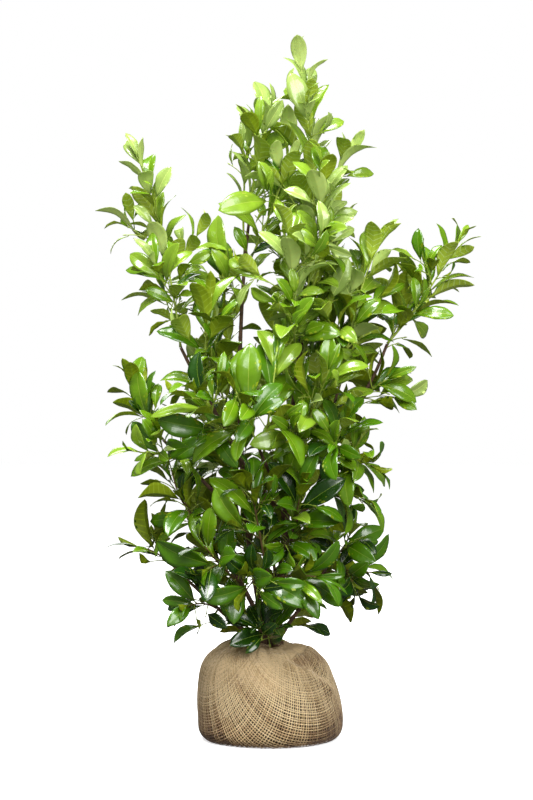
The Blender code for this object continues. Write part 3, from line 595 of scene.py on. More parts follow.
def shoots_of(mass, stem):
    """The stem of a mass and the side twigs that leave it, each with the share where its leaves begin."""
    chance = random.Random(mass.seed)
    spin = chance.uniform(0, math.tau)
    length = chain_length(stem)
    shoots = [(stem, mass.bare)]
    count = int(length * (1 - mass.bare) / TWIG_EVERY + 0.5)
    for index in range(count):
        share = spread(mass.bare, TWIG_LAST, (index + 0.5) / count)
        foot, way = along(stem, share)
        azimuth = spin + index * GOLDEN + chance.uniform(-TWIG_SWING, TWIG_SWING)
        lean = TWIG_LEAN * chance.uniform(*TWIG_VARY)
        out = leaning(way, azimuth, lean)
        reach = length * TWIG_SHARE * (TWIG_TAPER - share) * chance.uniform(*TWIG_VARY)
        reach = min(max(reach, TWIG_SHORTEST), TWIG_LONGEST)
        tip = foot + out * reach
        shoots.append((bowed(foot, tip, turned(out, azimuth) * (reach * TWIG_BOW), TWIG_STEP, 1), TWIG_BARE))
    return shoots


def leaf_plan(mass, shoots):
    """Every leaf that a mass would like: root, way, face direction, length, width, swing to a free place."""
    chance = random.Random(mass.seed + LEAF_DRAWS)
    plan = []
    for points, bare in shoots:
        spin = chance.uniform(0, math.tau)
        count = max(2, round(chain_length(points) * (1 - bare) / LEAF_STEP))
        for index in range(count):
            share = spread(bare, LEAF_LAST, (index + 0.5) / count)
            root, way = along(points, share)
            azimuth = spin + index * GOLDEN + chance.uniform(-LEAF_TURN, LEAF_TURN)
            opening = spread(OPEN_FOOT, OPEN_TIP, share ** OPEN_CURVE) * chance.uniform(*OPEN_VARY)
            out = (leaning(way, azimuth, opening) + Vector((0, 0, RISE * root.z))).normalized()
            front = Vector((0, -FRONT if root.y < FRONT_UP_TO else FRONT, 0))
            face = Vector((0, 0, 1)) * LIGHT + way * (1 - LIGHT) + front
            face = face - out * face.dot(out)
            roll = Matrix.Rotation(chance.uniform(-LEAF_ROLL, LEAF_ROLL), 3, out)
            up = (roll @ face).normalized()
            least, swell, end = LEAF_SIZE
            size = mass.leaf * (least + swell * math.sin(math.pi * min(share, end)))
            size *= chance.uniform(*LEAF_SIZE_VARY)
            width = size * LEAF_WIDTH * chance.uniform(*LEAF_WIDTH_VARY)
            plan.append((root, out, up, size, width, chance.uniform(-LEAF_SWING, LEAF_SWING)))
    return plan


def grow_leaves(name, mass, shoots, space):
    """The leaves of a mass that find free room; a crowded one tries a few turns about its root first."""
    leaves = []
    for root, way, up, length, width, swing in leaf_plan(mass, shoots):
        for attempt in range(TRIES):
            turn = Matrix.Rotation(attempt * swing, 3, Vector((0, 0, 1)))
            shrink = 1 - LEAF_SHRINK * attempt
            size = (root, turn @ way, turn @ up, length * shrink, width * shrink)
            if (root + way * length).z > LOWEST_LEAF \
                    and space.is_free(leaf_solid(*size, CLEAR, LEAF_NECK), LEAF_FACES) \
                    and space.is_free(leaf_solid(*size, CLEAR), LEAF_FACES, name):
                space.add(name, leaf_solid(*size), LEAF_FACES)
                leaves.append(size)
                break
    return leaves


def make_stem(name, limb):
    """A stem from its flat cut on the ball, over a short root flare, to its tip."""
    foot = Vector((*limb.share, BALL_HEIGHT + GAP))
    collar = foot + Vector((0, 0, FLARE_HEIGHT))
    points = limb_chain(name, collar, limb)
    radii = [limb.thick * ROOT_FLARE] + tapered(limb.thick, limb.thin, points)
    points = [foot] + points
    return points, swept(points, radii, LIMB_SIDES)


def leave(limb, carriers):
    """Foot of a limb or shoot beside its carrier or at its tip, and the way that it slides to its seat."""
    points, _, widths = carriers[limb.carrier]
    place, way = along(points, limb.share)
    if limb.share == 1.0:
        return place + way * GAP, way
    reach = Vector(limb.tip) - place
    side = (reach - way * reach.dot(way)).normalized()
    return place + side * spread(*widths, limb.share), side


def make_bough(name, limb, carriers):
    foot, way = leave(limb, carriers)
    points = limb_chain(name, foot, limb)
    mesh = swept(points, tapered(limb.thick, limb.thin, points), LIMB_SIDES)
    shift = seat(mesh, carriers[limb.carrier][1], foot, way)
    return [point + shift for point in points], mesh


def make_twigs(name, mass, carriers, space):
    """The shoots of a mass: its stem, bowed the first way that is free, and its side twigs."""
    foot, way = leave(mass, carriers)
    tip = Vector(mass.tip)
    chord = (tip - foot).normalized()
    for turn in range(BOW_TURNS):
        bow = Matrix.Rotation(math.tau * turn / BOW_TURNS, 3, chord) @ Vector(mass.bow)
        stem = bowed(foot, tip, bow, TWIG_STEP)
        mesh = swept(stem, tapered(*STEM_WIDTHS, stem))
        shift = seat(mesh, carriers[mass.carrier][1], foot, way)
        moved = [point + shift for point in stem]
        probe = swept(moved, tapered(*STEM_WIDTHS, stem, CLEAR))
        if space.is_free(*shape_of(mesh)) and space.is_free(*shape_of(probe), mass.carrier):
            break
    else:
        print("crowded stem", name)
    space.add(name, *shape_of(mesh))
    shoots = shoots_of(mass, moved)
    kept = [shoots[0]]
    for points, bare in shoots[1:]:
        twig = swept(points, tapered(*TWIG_WIDTHS, points))
        radii = tapered(*TWIG_WIDTHS, points, CLEAR)
        probe = swept(points, radii)
        outer = swept([along(points, TWIG_CLEAR_FROM)[0]] + points[1:], radii)
        if space.is_free(*shape_of(outer)) and space.is_free(*shape_of(probe), name):
            space.add(name, *shape_of(twig))
            kept.append((points, bare))
    return kept


# ---- materials

def srgb(red, green, blue):
    return [((level / 255 + 0.055) / 1.055) ** 2.4 if level > 10 else level / 3294.6
            for level in (red, green, blue)] + [1.0]


def fill(node, values):
    """Set some of a node's inputs."""
    for name, value in values.items():
        node.inputs[name].default_value = value


def grain(nodes, links, scale, detail):
    """Noise in the object's own coordinates."""
    place = nodes.new("ShaderNodeTexCoord")
    noise = nodes.new("ShaderNodeTexNoise")
    fill(noise, {"Scale": scale, "Detail": detail})
    links.new(place.outputs["Object"], noise.inputs["Vector"])
    return noise.outputs["Fac"]


def ramp(nodes, colours, places=(0.0, 1.0)):
    """A blend of two colours."""
    node = nodes.new("ShaderNodeValToRGB")
    for element, colour, place in zip(node.color_ramp.elements, colours, places):
        element.color, element.position = colour, place
    return node


def finish(name, colour, roughness, mottle=0.0, scale=40.0, bump=0.0, bump_scale=300.0,
           sheen=0.0, gloss=0.5):
    """A principled material whose colour and relief both vary a little by noise."""
    material = bpy.data.materials.new(name)
    material.use_nodes = True
    nodes, links = material.node_tree.nodes, material.node_tree.links
    shader = nodes["Principled BSDF"]
    fill(shader, {"Base Color": colour, "Roughness": roughness, "Sheen Weight": sheen,
                  "Specular IOR Level": gloss})
    if mottle:
        blend = ramp(nodes, [[min(level * change, 1) for level in colour[:3]] + [1]
                             for change in (1 - mottle, 1 + mottle)], (0.3, 0.7))
        links.new(grain(nodes, links, scale, 3.0), blend.inputs["Fac"])
        links.new(blend.outputs["Color"], shader.inputs["Base Color"])
    if bump:
        relief = nodes.new("ShaderNodeBump")
        fill(relief, {"Strength": bump, "Distance": BUMP_DEEP})
        links.new(grain(nodes, links, bump_scale, 2.0), relief.inputs["Height"])
        links.new(relief.outputs["Normal"], shader.inputs["Normal"])
    return material


def finishes(name, tones, *look, **more):
    """The same finish in several tones."""
    return [finish(f"{name}_{index}", srgb(*tone), *look, **more) for index, tone in enumerate(tones)]


# ---- meshes from arrays

class Heap:
    """Points and faces of one piece, gathered as arrays and made one mesh at the end."""

    def __init__(self):
        self.points, self.faces, self.size, self.triangles = [], [], 0, 0

    def add(self, points, *blocks):
        """Points, and blocks of faces: corner indices (one row a face), material or materials, smooth."""
        for corners, material, smooth in blocks:
            corners = np.asarray(corners)
            self.faces.append((corners + self.size, np.broadcast_to(material, len(corners)), smooth))
            self.triangles += len(corners) * (corners.shape[1] - 2)
        self.points.append(np.asarray(points, float).reshape(-1, 3))
        self.size += len(self.points[-1])

    def piece(self, name, materials):
        points = np.concatenate(self.points)
        loops = np.concatenate([corners.ravel() for corners, _, _ in self.faces])
        totals = np.concatenate([np.full(len(corners), corners.shape[1]) for corners, _, _ in self.faces])
        mesh = bpy.data.meshes.new(name)
        mesh.vertices.add(len(points))
        mesh.vertices.foreach_set("co", points.astype(np.float32).ravel())
        mesh.loops.add(len(loops))
        mesh.loops.foreach_set("vertex_index", loops.astype(np.int32))
        mesh.polygons.add(len(totals))
        mesh.polygons.foreach_set("loop_start", (np.cumsum(totals) - totals).astype(np.int32))
        mesh.polygons.foreach_set("material_index",
                                  np.concatenate([paint for _, paint, _ in self.faces]).astype(np.int32))
        mesh.polygons.foreach_set("use_smooth",
                                  np.concatenate([np.full(len(c), smooth) for c, _, smooth in self.faces]))
        for material in materials:
            mesh.materials.append(material)
        mesh.update(calc_edges=True)
        mesh.validate()
        return new_object(name, mesh)


def grid_faces(rows, columns, closed=False):
    """Quads of a grid of points, row by row; closed joins the last column to the first."""
    across = columns if closed else columns - 1
    row, column = np.meshgrid(np.arange(rows - 1), np.arange(across), indexing="ij")
    here, beside = row * columns + column, row * columns + (column + 1) % columns
    return np.stack([here, beside, beside + columns, here + columns], -1).reshape(-1, 4)


def end_faces(rows, columns):
    """The two faces that close a tube of points."""
    last = (rows - 1) * columns
    return [list(range(columns))[::-1]], [[last + index for index in range(columns)]]


def off_axis(points):
    """Distance from the upright line through the ball's middle."""
    return np.hypot(points[..., 0], points[..., 1])


def smooth_chain(points, step):
    """Catmull-Rom curve through a chain of points, with a point about every step."""
    knots = np.array([tuple(point) for point in points], float)
    knots = np.vstack([2 * knots[0] - knots[1], knots, 2 * knots[-1] - knots[-2]])
    curve = [knots[1]]
    for before, here, there, after in zip(knots, knots[1:], knots[2:], knots[3:]):
        count = max(1, round(np.linalg.norm(there - here) / step))
        for t in np.arange(1, count + 1) / count:
            bend = 2 * before - 5 * here + 4 * there - after
            curve.append(0.5 * (2 * here + (there - before) * t + bend * t * t
                                + (3 * here - before - 3 * there + after) * t ** 3))
    return np.array(curve)


def fade(distance, width):
    """From 0 to 1 over a width, for a soft edge."""
    return np.clip(distance / width, 0, 1)


def unit(vectors):
    return vectors / np.maximum(np.linalg.norm(vectors, axis=-1, keepdims=True), 1e-12)


def carried_frames(curve):
    """Two directions square to a curve at each of its points, without twist."""
    ways = unit(np.gradient(curve, axis=0))
    side = unit(np.cross(ways[0], (1, 0, 0) if abs(ways[0][0]) < 0.7 else (0, 1, 0)))
    sides = []
    for way in ways:
        side = unit(side - way * side.dot(way))
        sides.append(side)
    sides = np.array(sides)
    return sides, np.cross(ways, sides)


def tube(heap, curve, radii, sides, material, frames=None, flat=1.0, relief=None):
    """A round or flattened tube along a curve, closed at both ends."""
    across, up = frames if frames else carried_frames(curve)
    angles = np.arange(sides) * math.tau / sides
    radii = np.broadcast_to(np.asarray(radii, float).reshape(-1, 1), (len(curve), sides))
    if relief is not None:
        radii = radii * relief
    ring = (across[:, None] * (np.cos(angles) * radii)[..., None]
            + up[:, None] * (np.sin(angles) * radii * flat)[..., None])
    foot, tip = end_faces(len(curve), sides)
    heap.add(curve[:, None] + ring, (grid_faces(len(curve), sides, True), material, True),
             (foot, np.ravel(material)[0], True), (tip, np.ravel(material)[-1], True))


# ---- leaves

def leaf_outline(t):
    """Half width along the blade, one at its widest: a wedge at the foot and a blunt tip."""
    foot, end = OUTLINE_FOOT, OUTLINE_END
    peak = foot ** foot * end ** end / (foot + end) ** (foot + end)
    return np.clip(t, 0, 1) ** foot * np.clip(1 - t, 0, 1) ** end / peak


def blade_form(count, across, blade, length, width, chance):
    """A blade: place along it and across it, heights of both sides, twist and sideways draw of each point."""
    middle = len(across) // 2
    gaps = count // 2 + 1
    vein = (np.arange(gaps - 1)[:, None] + 1 + np.array([[-0.5, 0.5]]) * VEIN_WIDE).ravel() / gaps
    rows = 1 - (1 - np.concatenate([[0], vein, [1]])[:, None]) ** ROWS_CLOSE
    share = np.array(across)[None, :]
    on_rib = share == 0
    reach = width * BLADE_WIDTH / 2
    lag = VEIN_LAG * share * reach / blade * np.sin(math.pi * rows) ** 0.6
    t = np.clip(rows + lag * (1 - rows), 0, 1)
    rib = spread(*RIB_WIDTHS, t)
    half = rib * RIB_ROOM + reach * leaf_outline(t)
    x = np.repeat((-1, 1), middle) * (rib + (half - rib) * share)
    fold, curl = chance.uniform(*BLADE_FOLD), chance.uniform(*BLADE_CURL)
    arch, nod = chance.uniform(*BLADE_ARCH), chance.uniform(*BLADE_NOD)
    phase, waves = chance.uniform(0, math.tau), chance.uniform(*BLADE_WAVES)
    veins = VEIN_DEPTH * np.where(np.arange(count + 1) % 2, 1, -1)[:, None] * (1 - share) \
        * np.sin(math.pi * rows) * ~on_rib
    z = fold * np.abs(x) - curl * share ** 2 * half * 2 \
        + arch * length * 4 * t * (1 - t) - nod * length * fade(t - NOD_FROM, 1 - NOD_FROM) ** 2 \
        + BLADE_WAVE * np.sin(math.tau * waves * t + phase + x / reach) * share ** 2 + veins
    twist = chance.uniform(-BLADE_TWIST, BLADE_TWIST) * t
    hook = chance.uniform(-BLADE_HOOK, BLADE_HOOK) * length * t ** 2
    thick = BLADE_THICK / 2 * (1 - EDGE_THIN * share ** 2)
    levels = z + thick - RIB_SUNK * on_rib, z - thick - RIB_PROUD * (1 - RIB_FADE * rows) * on_rib
    return t, x, levels, twist, hook


def blade_faces(count, columns, tint):
    """Upper side, underside with its veins, and rim of a blade, with their materials."""
    middle, shift = columns // 2, (count + 1) * columns
    top = grid_faces(count + 1, columns)
    below = top + shift
    rib_face = np.tile(np.arange(columns - 1) == middle - 1, count)
    edge = np.concatenate([np.arange(count + 1) * columns, count * columns + np.arange(1, columns),
                           np.arange(count - 1, -1, -1) * columns + columns - 1,
                           np.arange(columns - 2, 0, -1)])
    beside = np.roll(edge, -1)
    rim = np.stack([edge, beside, beside + shift, edge + shift], -1)
    vein_face = np.repeat(np.arange(count) % 2 == 1, columns - 1)
    upper, (under, under_vein), midrib = tint
    return ((top, np.where(rib_face, midrib, upper), True),
            (below[:, ::-1], np.where(rib_face, midrib, np.where(vein_face, under_vein, under)), True),
            (rim, under, False))


def living_leaf(heap, root, way, up, length, width, grid, tint, chance):
    """One leaf on its stalk: folded blade, sunken midrib, forward veins, waved margin, nodding tip."""
    count, across = grid
    middle = len(across) // 2
    side = way.cross(up).normalized()
    stalk = length * STALK
    blade = length - stalk
    t, x, levels, twist, hook = blade_form(count, across, blade, length, width, chance)
    layers = []
    for level in levels:
        sideways = x * np.cos(twist) - level * np.sin(twist) + hook
        height = x * np.sin(twist) + level * np.cos(twist)
        layers.append(np.array(root) + np.multiply.outer(stalk + t * blade, np.array(way))
                      + np.multiply.outer(sideways, np.array(side)) + np.multiply.outer(height, np.array(up)))
    points = np.stack(layers)
    points[..., 2] -= BLADE_DROOP * length * t ** 2 * math.hypot(way.x, way.y)
    heap.add(points, *blade_faces(count, len(across), tint))
    start = np.array(root)
    line = np.array([start, start + np.array(way) * stalk * 0.5 - (0, 0, STALK_SAG),
                     points[:, 0, middle - 1:middle + 1].mean((0, 1)) + np.array(way) * STALK_INTO])
    tube(heap, line, [STALK_RADIUS, STALK_RADIUS * 0.9, STALK_RADIUS * 0.8], STALK_SIDES, tint[2])


# ---- shoots, buds and bark

def bud(heap, place, way, length, radius, material):
    rise, wide = np.array(BUD_FORM).T
    curve = np.array(place) + np.outer(rise, np.array(way) * length)
    tube(heap, curve, wide * radius, STALK_SIDES, material)


def living_shoot(heap, points, thick, thin, material, foot_radius=None):
    """A shoot with a swelling at each leaf, wider where it leaves its limb, and a bud at its end."""
    curve = smooth_chain(points, SHOOT_SMOOTH)
    share = np.linspace(0, 1, len(curve))
    length = chain_length(points)
    radii = spread(thick, thin, share) * (1 + NODE_SWELL * np.cos(math.tau * share * length / LEAF_STEP) ** 8)
    if foot_radius:
        radii = np.maximum(radii, foot_radius * (1 - share * length / COLLAR_LENGTH))
    tube(heap, curve, radii, SHOOT_SIDES, material)
    way = unit(curve[-1] - curve[-2])
    bud(heap, curve[-1], way, BUD_LENGTH, max(thin, BUD_RADIUS), material)


def bark_limb(name, points, thick, thin, carrier_radius=0.0, flare=False):
    """A limb with ridged bark, leaf scars, and a collar or root flare where it starts."""
    chance = random.Random(name)
    curve = smooth_chain(points, BARK_STEP)
    if carrier_radius:
        curve = np.vstack([curve[0] - unit(curve[1] - curve[0]) * carrier_radius * FOOT_SUNK, curve])
    length = np.concatenate([[0], np.cumsum(np.linalg.norm(np.diff(curve, axis=0), axis=1))])[:, None]
    share = length / length[-1]
    angles = (np.arange(BARK_SIDES) * math.tau / BARK_SIDES)[None, :]
    relief = 1 + sum(BARK_RIDGE * chance.uniform(0.4, 1) / math.sqrt(lobes)
                     * np.sin(lobes * angles + chance.uniform(0, math.tau)
                              + chance.uniform(0.4, 1.2) * np.sin(length * chance.uniform(20, 90)))
                     for lobes in BARK_LOBES)
    grooves = np.sin(length * 900 + 3 * np.sin(angles * 2)) * np.sin(angles * 3 + length * 60)
    relief += BARK_RIDGE * BARK_FINE * grooves
    long, around, aside = BARK_SCAR
    for index in range(int(length[-1, 0] / BARK_SCAR_EVERY)):
        place, turn = (index + 0.5) * BARK_SCAR_EVERY, index * GOLDEN
        ring = np.exp(-((length - place) / long) ** 2)
        relief += ring * (around + aside * np.clip(np.cos(angles - turn), 0, 1) ** 3)
    radii = spread(thick, thin, share) * BARK_LOOK_WIDTH
    if flare:
        roots = 1 + FLARE_LOBES * np.sin(4 * angles + chance.uniform(0, math.tau))
        radii = radii * (1 + (ROOT_FLARE - 1) * np.exp(-length / FLARE_HEIGHT) * roots)
    elif carrier_radius:
        beyond = np.maximum(length - carrier_radius * FOOT_SUNK, 0)
        radii = radii * (1 + COLLAR_SWELL * np.exp(-beyond / COLLAR_LENGTH))
    heap = Heap()
    tube(heap, curve, np.ones(len(curve)), BARK_SIDES, 0, relief=radii * relief)
    return heap.piece("bark_" + name, [BARK_LOOK])


# ---- root ball

POLAR = np.linspace(0, math.pi, 2000)


def ball_point(polar, azimuth):
    """Place on the ball, by the source's rule, for a polar angle from its underside and an azimuth."""
    height, ring = -np.cos(polar), np.maximum(np.sin(polar), 0)
    above = height > 0
    power = np.where(above, BALL_SQUARENESS, BALL_SQUARENESS_BELOW)
    size = (ring ** power + np.abs(height) ** power) ** (-1 / power)
    rise = height * size * np.where(above, BALL_RISE, BALL_FALL)
    lump = 1 + BALL_LUMP * sum(share * np.sin(waves * azimuth + phase + climb * rise)
                               for waves, phase, climb, share in BALL_WAVES)
    x = np.cos(azimuth) * ring * size * BALL_WIDTH / 2 * lump - BALL_LEAN * np.maximum(rise, 0)
    y = np.sin(azimuth) * ring * size * BALL_DEPTH / 2 * lump
    z = np.clip(BALL_WAIST + rise * np.where(above, 1 - BALL_TILT * x, 1), 0, BALL_HEIGHT)
    neck = np.hypot(x, y)
    z = z - NECK_RISE * np.cos(azimuth + NECK_LEFT) * np.exp(-((neck - NECK_RADIUS) / NECK_SPREAD) ** 2)
    z = z - NECK_DIP * np.exp(-(neck / NECK_HOLE) ** 4)
    return np.stack([x, y, z], -1)


def wrinkles(points):
    """Ridges and hollows of the cloth, each along a straight line."""
    rise = np.zeros(points.shape[:-1])
    for start, end, width, height in WRINKLES:
        start, run = np.array(start), np.array(end) - np.array(start)
        share = np.clip((points - start) @ run / (run @ run), 0, 1)
        away = np.linalg.norm(points - start - share[..., None] * run, axis=-1)
        rise += height * np.exp(-(away / width) ** 2)
    return rise


def cloth_point(polar, azimuth, lift):
    """Place on the cloth: the ball with its folds and gathers, lifted along the normal."""
    here = ball_point(polar, azimuth)
    ahead = ball_point(polar + SLOPE_STEP, azimuth) - ball_point(polar - SLOPE_STEP, azimuth)
    aside = ball_point(polar, azimuth + SLOPE_STEP) - ball_point(polar, azimuth - SLOPE_STEP)
    normal = unit(np.cross(aside, ahead))
    neck = off_axis(here)
    folds = 0.0
    for angle, lean, width, height, low in FOLDS:
        beside = np.sin((azimuth - math.radians(angle) - lean * (polar - FOLD_POLAR)) / 2) * 2
        folds = folds + height * np.exp(-(beside / width) ** 2) * fade(polar - low, FOLD_RUN) ** 1.5
    gather = fade(GATHER_RADIUS - neck, 0.09) * fade(polar - GATHER_POLAR, 0.3)
    drift = 1.3 * np.sin(3 * azimuth)
    pleats = gather * PLEAT_DEEP * sum(share * np.sin(count * azimuth + phase + (drift if phase == 0 else 0))
                                       for count, share, phase in PLEATS)
    point = here + normal * (lift + folds * fade(neck, 0.05) + pleats + wrinkles(here))[..., None]
    point[..., 2] = np.maximum(point[..., 2], CLOTH_LOWEST)
    return point, normal


def arc_table():
    """Arc length over the ball from the middle of its underside, for each polar angle in POLAR."""
    profile = ball_point(POLAR, np.full(len(POLAR), -math.pi / 2))
    return np.concatenate([[0], np.cumsum(np.linalg.norm(np.diff(profile, axis=0), axis=1))])


def turn_table():
    """Azimuths, and the direction in the flat cloth that lies at each of them."""
    azimuth = np.linspace(-math.pi, math.pi, 1441) + CLOTH_LOOSE
    return azimuth, azimuth - CLOTH_SLACK * np.sin(azimuth - CLOTH_LOOSE)


def jute_net(materials):
    """Threads of a square cloth that was laid under the ball and pulled up round it, woven over and under."""
    chance = random.Random(11)
    arcs = arc_table()
    azimuths, turns = turn_table()
    lines = int(NET_HALF / NET_PITCH)
    steps = np.arange(-2 * lines, 2 * lines + 1)
    pieces = []
    for family in (0, 1):
        heap = Heap()
        for line in range(-lines, lines + 1):
            stray = chance.uniform(-NET_WANDER, NET_WANDER)
            wander = stray + NET_SWAY * np.sin(steps / chance.uniform(9, 16) + chance.uniform(0, 6))
            across, run = (line + wander) * NET_PITCH, steps * NET_PITCH / 2
            east, north = (across, run) if family == 0 else (run, across)
            radius = np.hypot(east, north)
            turn = (np.arctan2(north, east) + CLOTH_LOOSE - turns[0]) % math.tau + turns[0]
            azimuth = np.interp(turn, turns, azimuths)
            polar = np.interp(radius, arcs, POLAR)
            wave = np.cos(math.pi * steps / 2) * (-1) ** line * (1 if family == 0 else -1)
            points, normals = cloth_point(polar, azimuth, NET_LIFT + NET_WAVE * wave)
            shown = (points[:, 2] > NET_LOWEST) & ((polar < GATHER_POLAR) | (off_axis(points) > NET_NECK))
            width = NET_WIDTH * chance.uniform(*NET_VARY)
            for stretch in np.split(np.arange(len(steps)), np.flatnonzero(np.diff(shown)) + 1):
                if not shown[stretch[0]] or len(stretch) < NET_SHORTEST:
                    continue
                curve = points[stretch]
                ways = unit(np.gradient(curve, axis=0))
                up = unit(normals[stretch] - ways * (normals[stretch] * ways).sum(1, keepdims=True))
                tone = np.clip(jute_tone(curve[:-1]) + chance.uniform(-NET_TONE, NET_TONE), 0, 0.999)
                material = np.repeat((tone * len(materials)).astype(int), NET_SIDES)
                tube(heap, curve, width, NET_SIDES, material, (np.cross(up, ways), up), NET_THICK / width)
        pieces.append(heap.piece(f"jute_net_{family + 1}", materials))
    return pieces


def jute_tone(points):
    """How dark the cloth is: darker towards the ground with a painted contact shadow at its foot, damp on the
    left foot and on the right, and painted shade of a fold on a shoulder.
    """
    x, y, z = points[:, 0], points[:, 1], points[:, 2]
    large = 0.14 * np.sin(31 * x + 17 * z + 1) * np.sin(27 * y - 23 * z + 2)
    patch = large + 0.08 * np.sin(83 * x + 61 * y + 70 * z)
    # darker towards the ground; the thin band at the foot is a painted contact shadow
    low = sum(fade(top - z, run) * depth for top, run, depth in GROUND_DARKENING_AND_PAINTED_SHADOW)
    left = fade(-0.06 - x, 0.09) * fade(0.105 - z, 0.08) * SIDE_STAIN[0]
    right = fade(x - 0.10, 0.05) * fade(0.16 - z, 0.05) * SIDE_STAIN[1]
    # painted shade of the fold on the right shoulder
    across, wide, up, high, depth = SHOULDER_FOLD_PAINTED_SHADE
    shoulder = np.exp(-((x - across) / wide) ** 2 - ((z - up) / high) ** 2) * depth
    return JUTE_TONE + low + left + right + shoulder + patch


def ball_core(material):
    """Soil and the inner layer of cloth, below the threads, gathered round the stems."""
    rows, columns = CORE_GRID
    polar = np.linspace(0.02, math.pi - 0.02, rows)[:, None] + np.zeros((1, columns))
    azimuth = np.zeros((rows, 1)) + (np.arange(columns) * math.tau / columns)[None, :]
    base = ball_point(polar, azimuth)
    inner = np.clip(inner_cloth(base), 0, 1)
    lumps = SOIL_LUMP * np.sin(70 * base[..., 0] + 3) * np.sin(80 * base[..., 1]) * np.sin(90 * base[..., 2])
    points, _ = cloth_point(polar, azimuth, -CORE_DEEP * (1 - inner * COVER_DEEP) + lumps)
    foot, top = end_faces(rows, columns)
    heap = Heap()
    heap.add(points, (grid_faces(rows, columns, True), 0, True), (foot, 0, False), (top, 0, True))
    return heap.piece("ball_core", [material])


def inner_cloth(points):
    """One where a second layer of cloth lies under the net: round the neck and over the upper left."""
    x, y, z = points[..., 0], points[..., 1], points[..., 2]
    near_stems = fade(0.118 - off_axis(points), 0.02) * (z > 0.12)
    upper_left = fade(z - 0.105 + 0.45 * x, 0.03) * fade(0.06 - x, 0.06) * fade(0.05 - y, 0.08)
    return np.maximum(near_stems, upper_left)


def fringe(heap, chance):
    """Frayed fibres where the cloth ends round the stems."""
    for _ in range(FIBRES):
        azimuth = chance.uniform(0, math.tau)
        ring = NECK_RADIUS * chance.uniform(*FIBRE_RING)
        start = np.array([math.cos(azimuth) * ring, math.sin(azimuth) * ring, BALL_HEIGHT + FIBRE_FOOT])
        out = np.array([math.cos(azimuth + chance.uniform(-FIBRE_STRAY, FIBRE_STRAY)),
                        math.sin(azimuth + chance.uniform(-FIBRE_STRAY, FIBRE_STRAY)),
                        chance.uniform(*FIBRE_RISE)])
        length = chance.uniform(*FIBRE_LENGTH)
        t = np.linspace(0, 1, 5)[:, None]
        curve = start + out * length * t - np.array([0, 0, FIBRE_SAG]) * t ** 2
        tube(heap, curve, FIBRE_RADII, 4, 0)


# ---- colours

BARK_LOOK = finish("bark_look", srgb(*BARK_TONE), 0.72, 0.45, 90, 0.5, 500)
GREEN_SHOOT = finish("green_shoot", srgb(*GREEN_TONE), 0.42, 0.15, 60)
BROWN_SHOOT = finish("brown_shoot", srgb(*BROWN_TONE), 0.6, 0.3, 80, 0.2, 600)
LEAF_LOOKS = (finishes("upper", UPPER_TONES, 0.25, 0.10, 45, gloss=0.75)
              + finishes("under", UNDER_TONES, 0.52, 0.08, 45, gloss=0.3)
              + finishes("rib", RIB_TONES, 0.40, 0.06, 45))
JUTE_LOOKS = finishes("jute", JUTE_TONES, 0.92, 0.14, 260, 0.6, 1500, 0.2)


def core_finish():
    """Dark crumbly soil that turns to cloth where the mesh says that a second layer covers it."""
    material = finish("soil_and_cloth", srgb(*SOIL), 0.95, 0.35, 120, 0.9, 900)
    nodes, links = material.node_tree.nodes, material.node_tree.links
    shader = nodes["Principled BSDF"]
    soil = shader.inputs["Base Color"].links[0].from_socket
    cover = nodes.new("ShaderNodeAttribute")
    cover.attribute_name = "cover"
    cloth = nodes.new("ShaderNodeTexNoise")
    cloth.inputs["Scale"].default_value = 70.0
    shade = ramp(nodes, [srgb(*tone) for tone in INNER_CLOTH_TONES])
    mix = nodes.new("ShaderNodeMix")
    mix.data_type = "RGBA"
    links.new(cloth.outputs["Fac"], shade.inputs["Fac"])
    links.new(cover.outputs["Fac"], mix.inputs["Factor"])
    links.new(soil, mix.inputs["A"])
    links.new(shade.outputs["Color"], mix.inputs["B"])
    links.new(mix.outputs["Result"], shader.inputs["Base Color"])
    return material


# ---- finer growth

def inside_reach(point, corners):
    low, high = corners
    return all(low[axis] - REACH_SPARE < point[axis] < high[axis] + REACH_SPARE for axis in range(3))


def spurs_of(name, mass, shoots, corners, every, lengths, space):
    """Short spurs along the shoots of a mass or along a limb, wherever there is still free room."""
    chance = random.Random(mass.seed + SPUR_DRAWS)
    spurs = []
    for points, _ in shoots:
        count = round(chain_length(points) / every)
        for index in range(count):
            share = spread(*SPUR_SHARES, (index + chance.random()) / count)
            foot, way = along(points, share)
            if chance.random() > spread(*SPUR_KEPT, foot.z / CAD_BOX[1].z):
                continue
            azimuth, lean = chance.uniform(0, math.tau), SPUR_LEAN * chance.uniform(*SPUR_VARY)
            out = leaning(way, azimuth, lean).normalized()
            reach = chance.uniform(*lengths)
            tip = foot + out * reach
            chain = bowed(foot, tip, Vector((0, 0, SPUR_BOW * reach)), reach, 2)
            probe = swept([along(chain, SPUR_CLEAR_FROM)[0], tip], [SPUR_WIDTHS[0] + CLEAR] * 2)
            if inside_reach(tip, corners) and space.is_free(*shape_of(probe)):
                space.add(name, *shape_of(probe))
                spurs.append((chain, SPUR_BARE))
            bpy.data.meshes.remove(probe)
    return spurs


def finer_leaves(name, mass, spurs, corners, space):
    """Leaves of the spurs, kept inside their reach."""
    small = mass._replace(leaf=mass.leaf * SPUR_LEAF, seed=mass.seed + SPUR_LEAF_DRAWS)
    return [leaf for leaf in grow_leaves(name, small, spurs, space)
            if inside_reach(leaf[0] + leaf[1] * leaf[3], corners)]


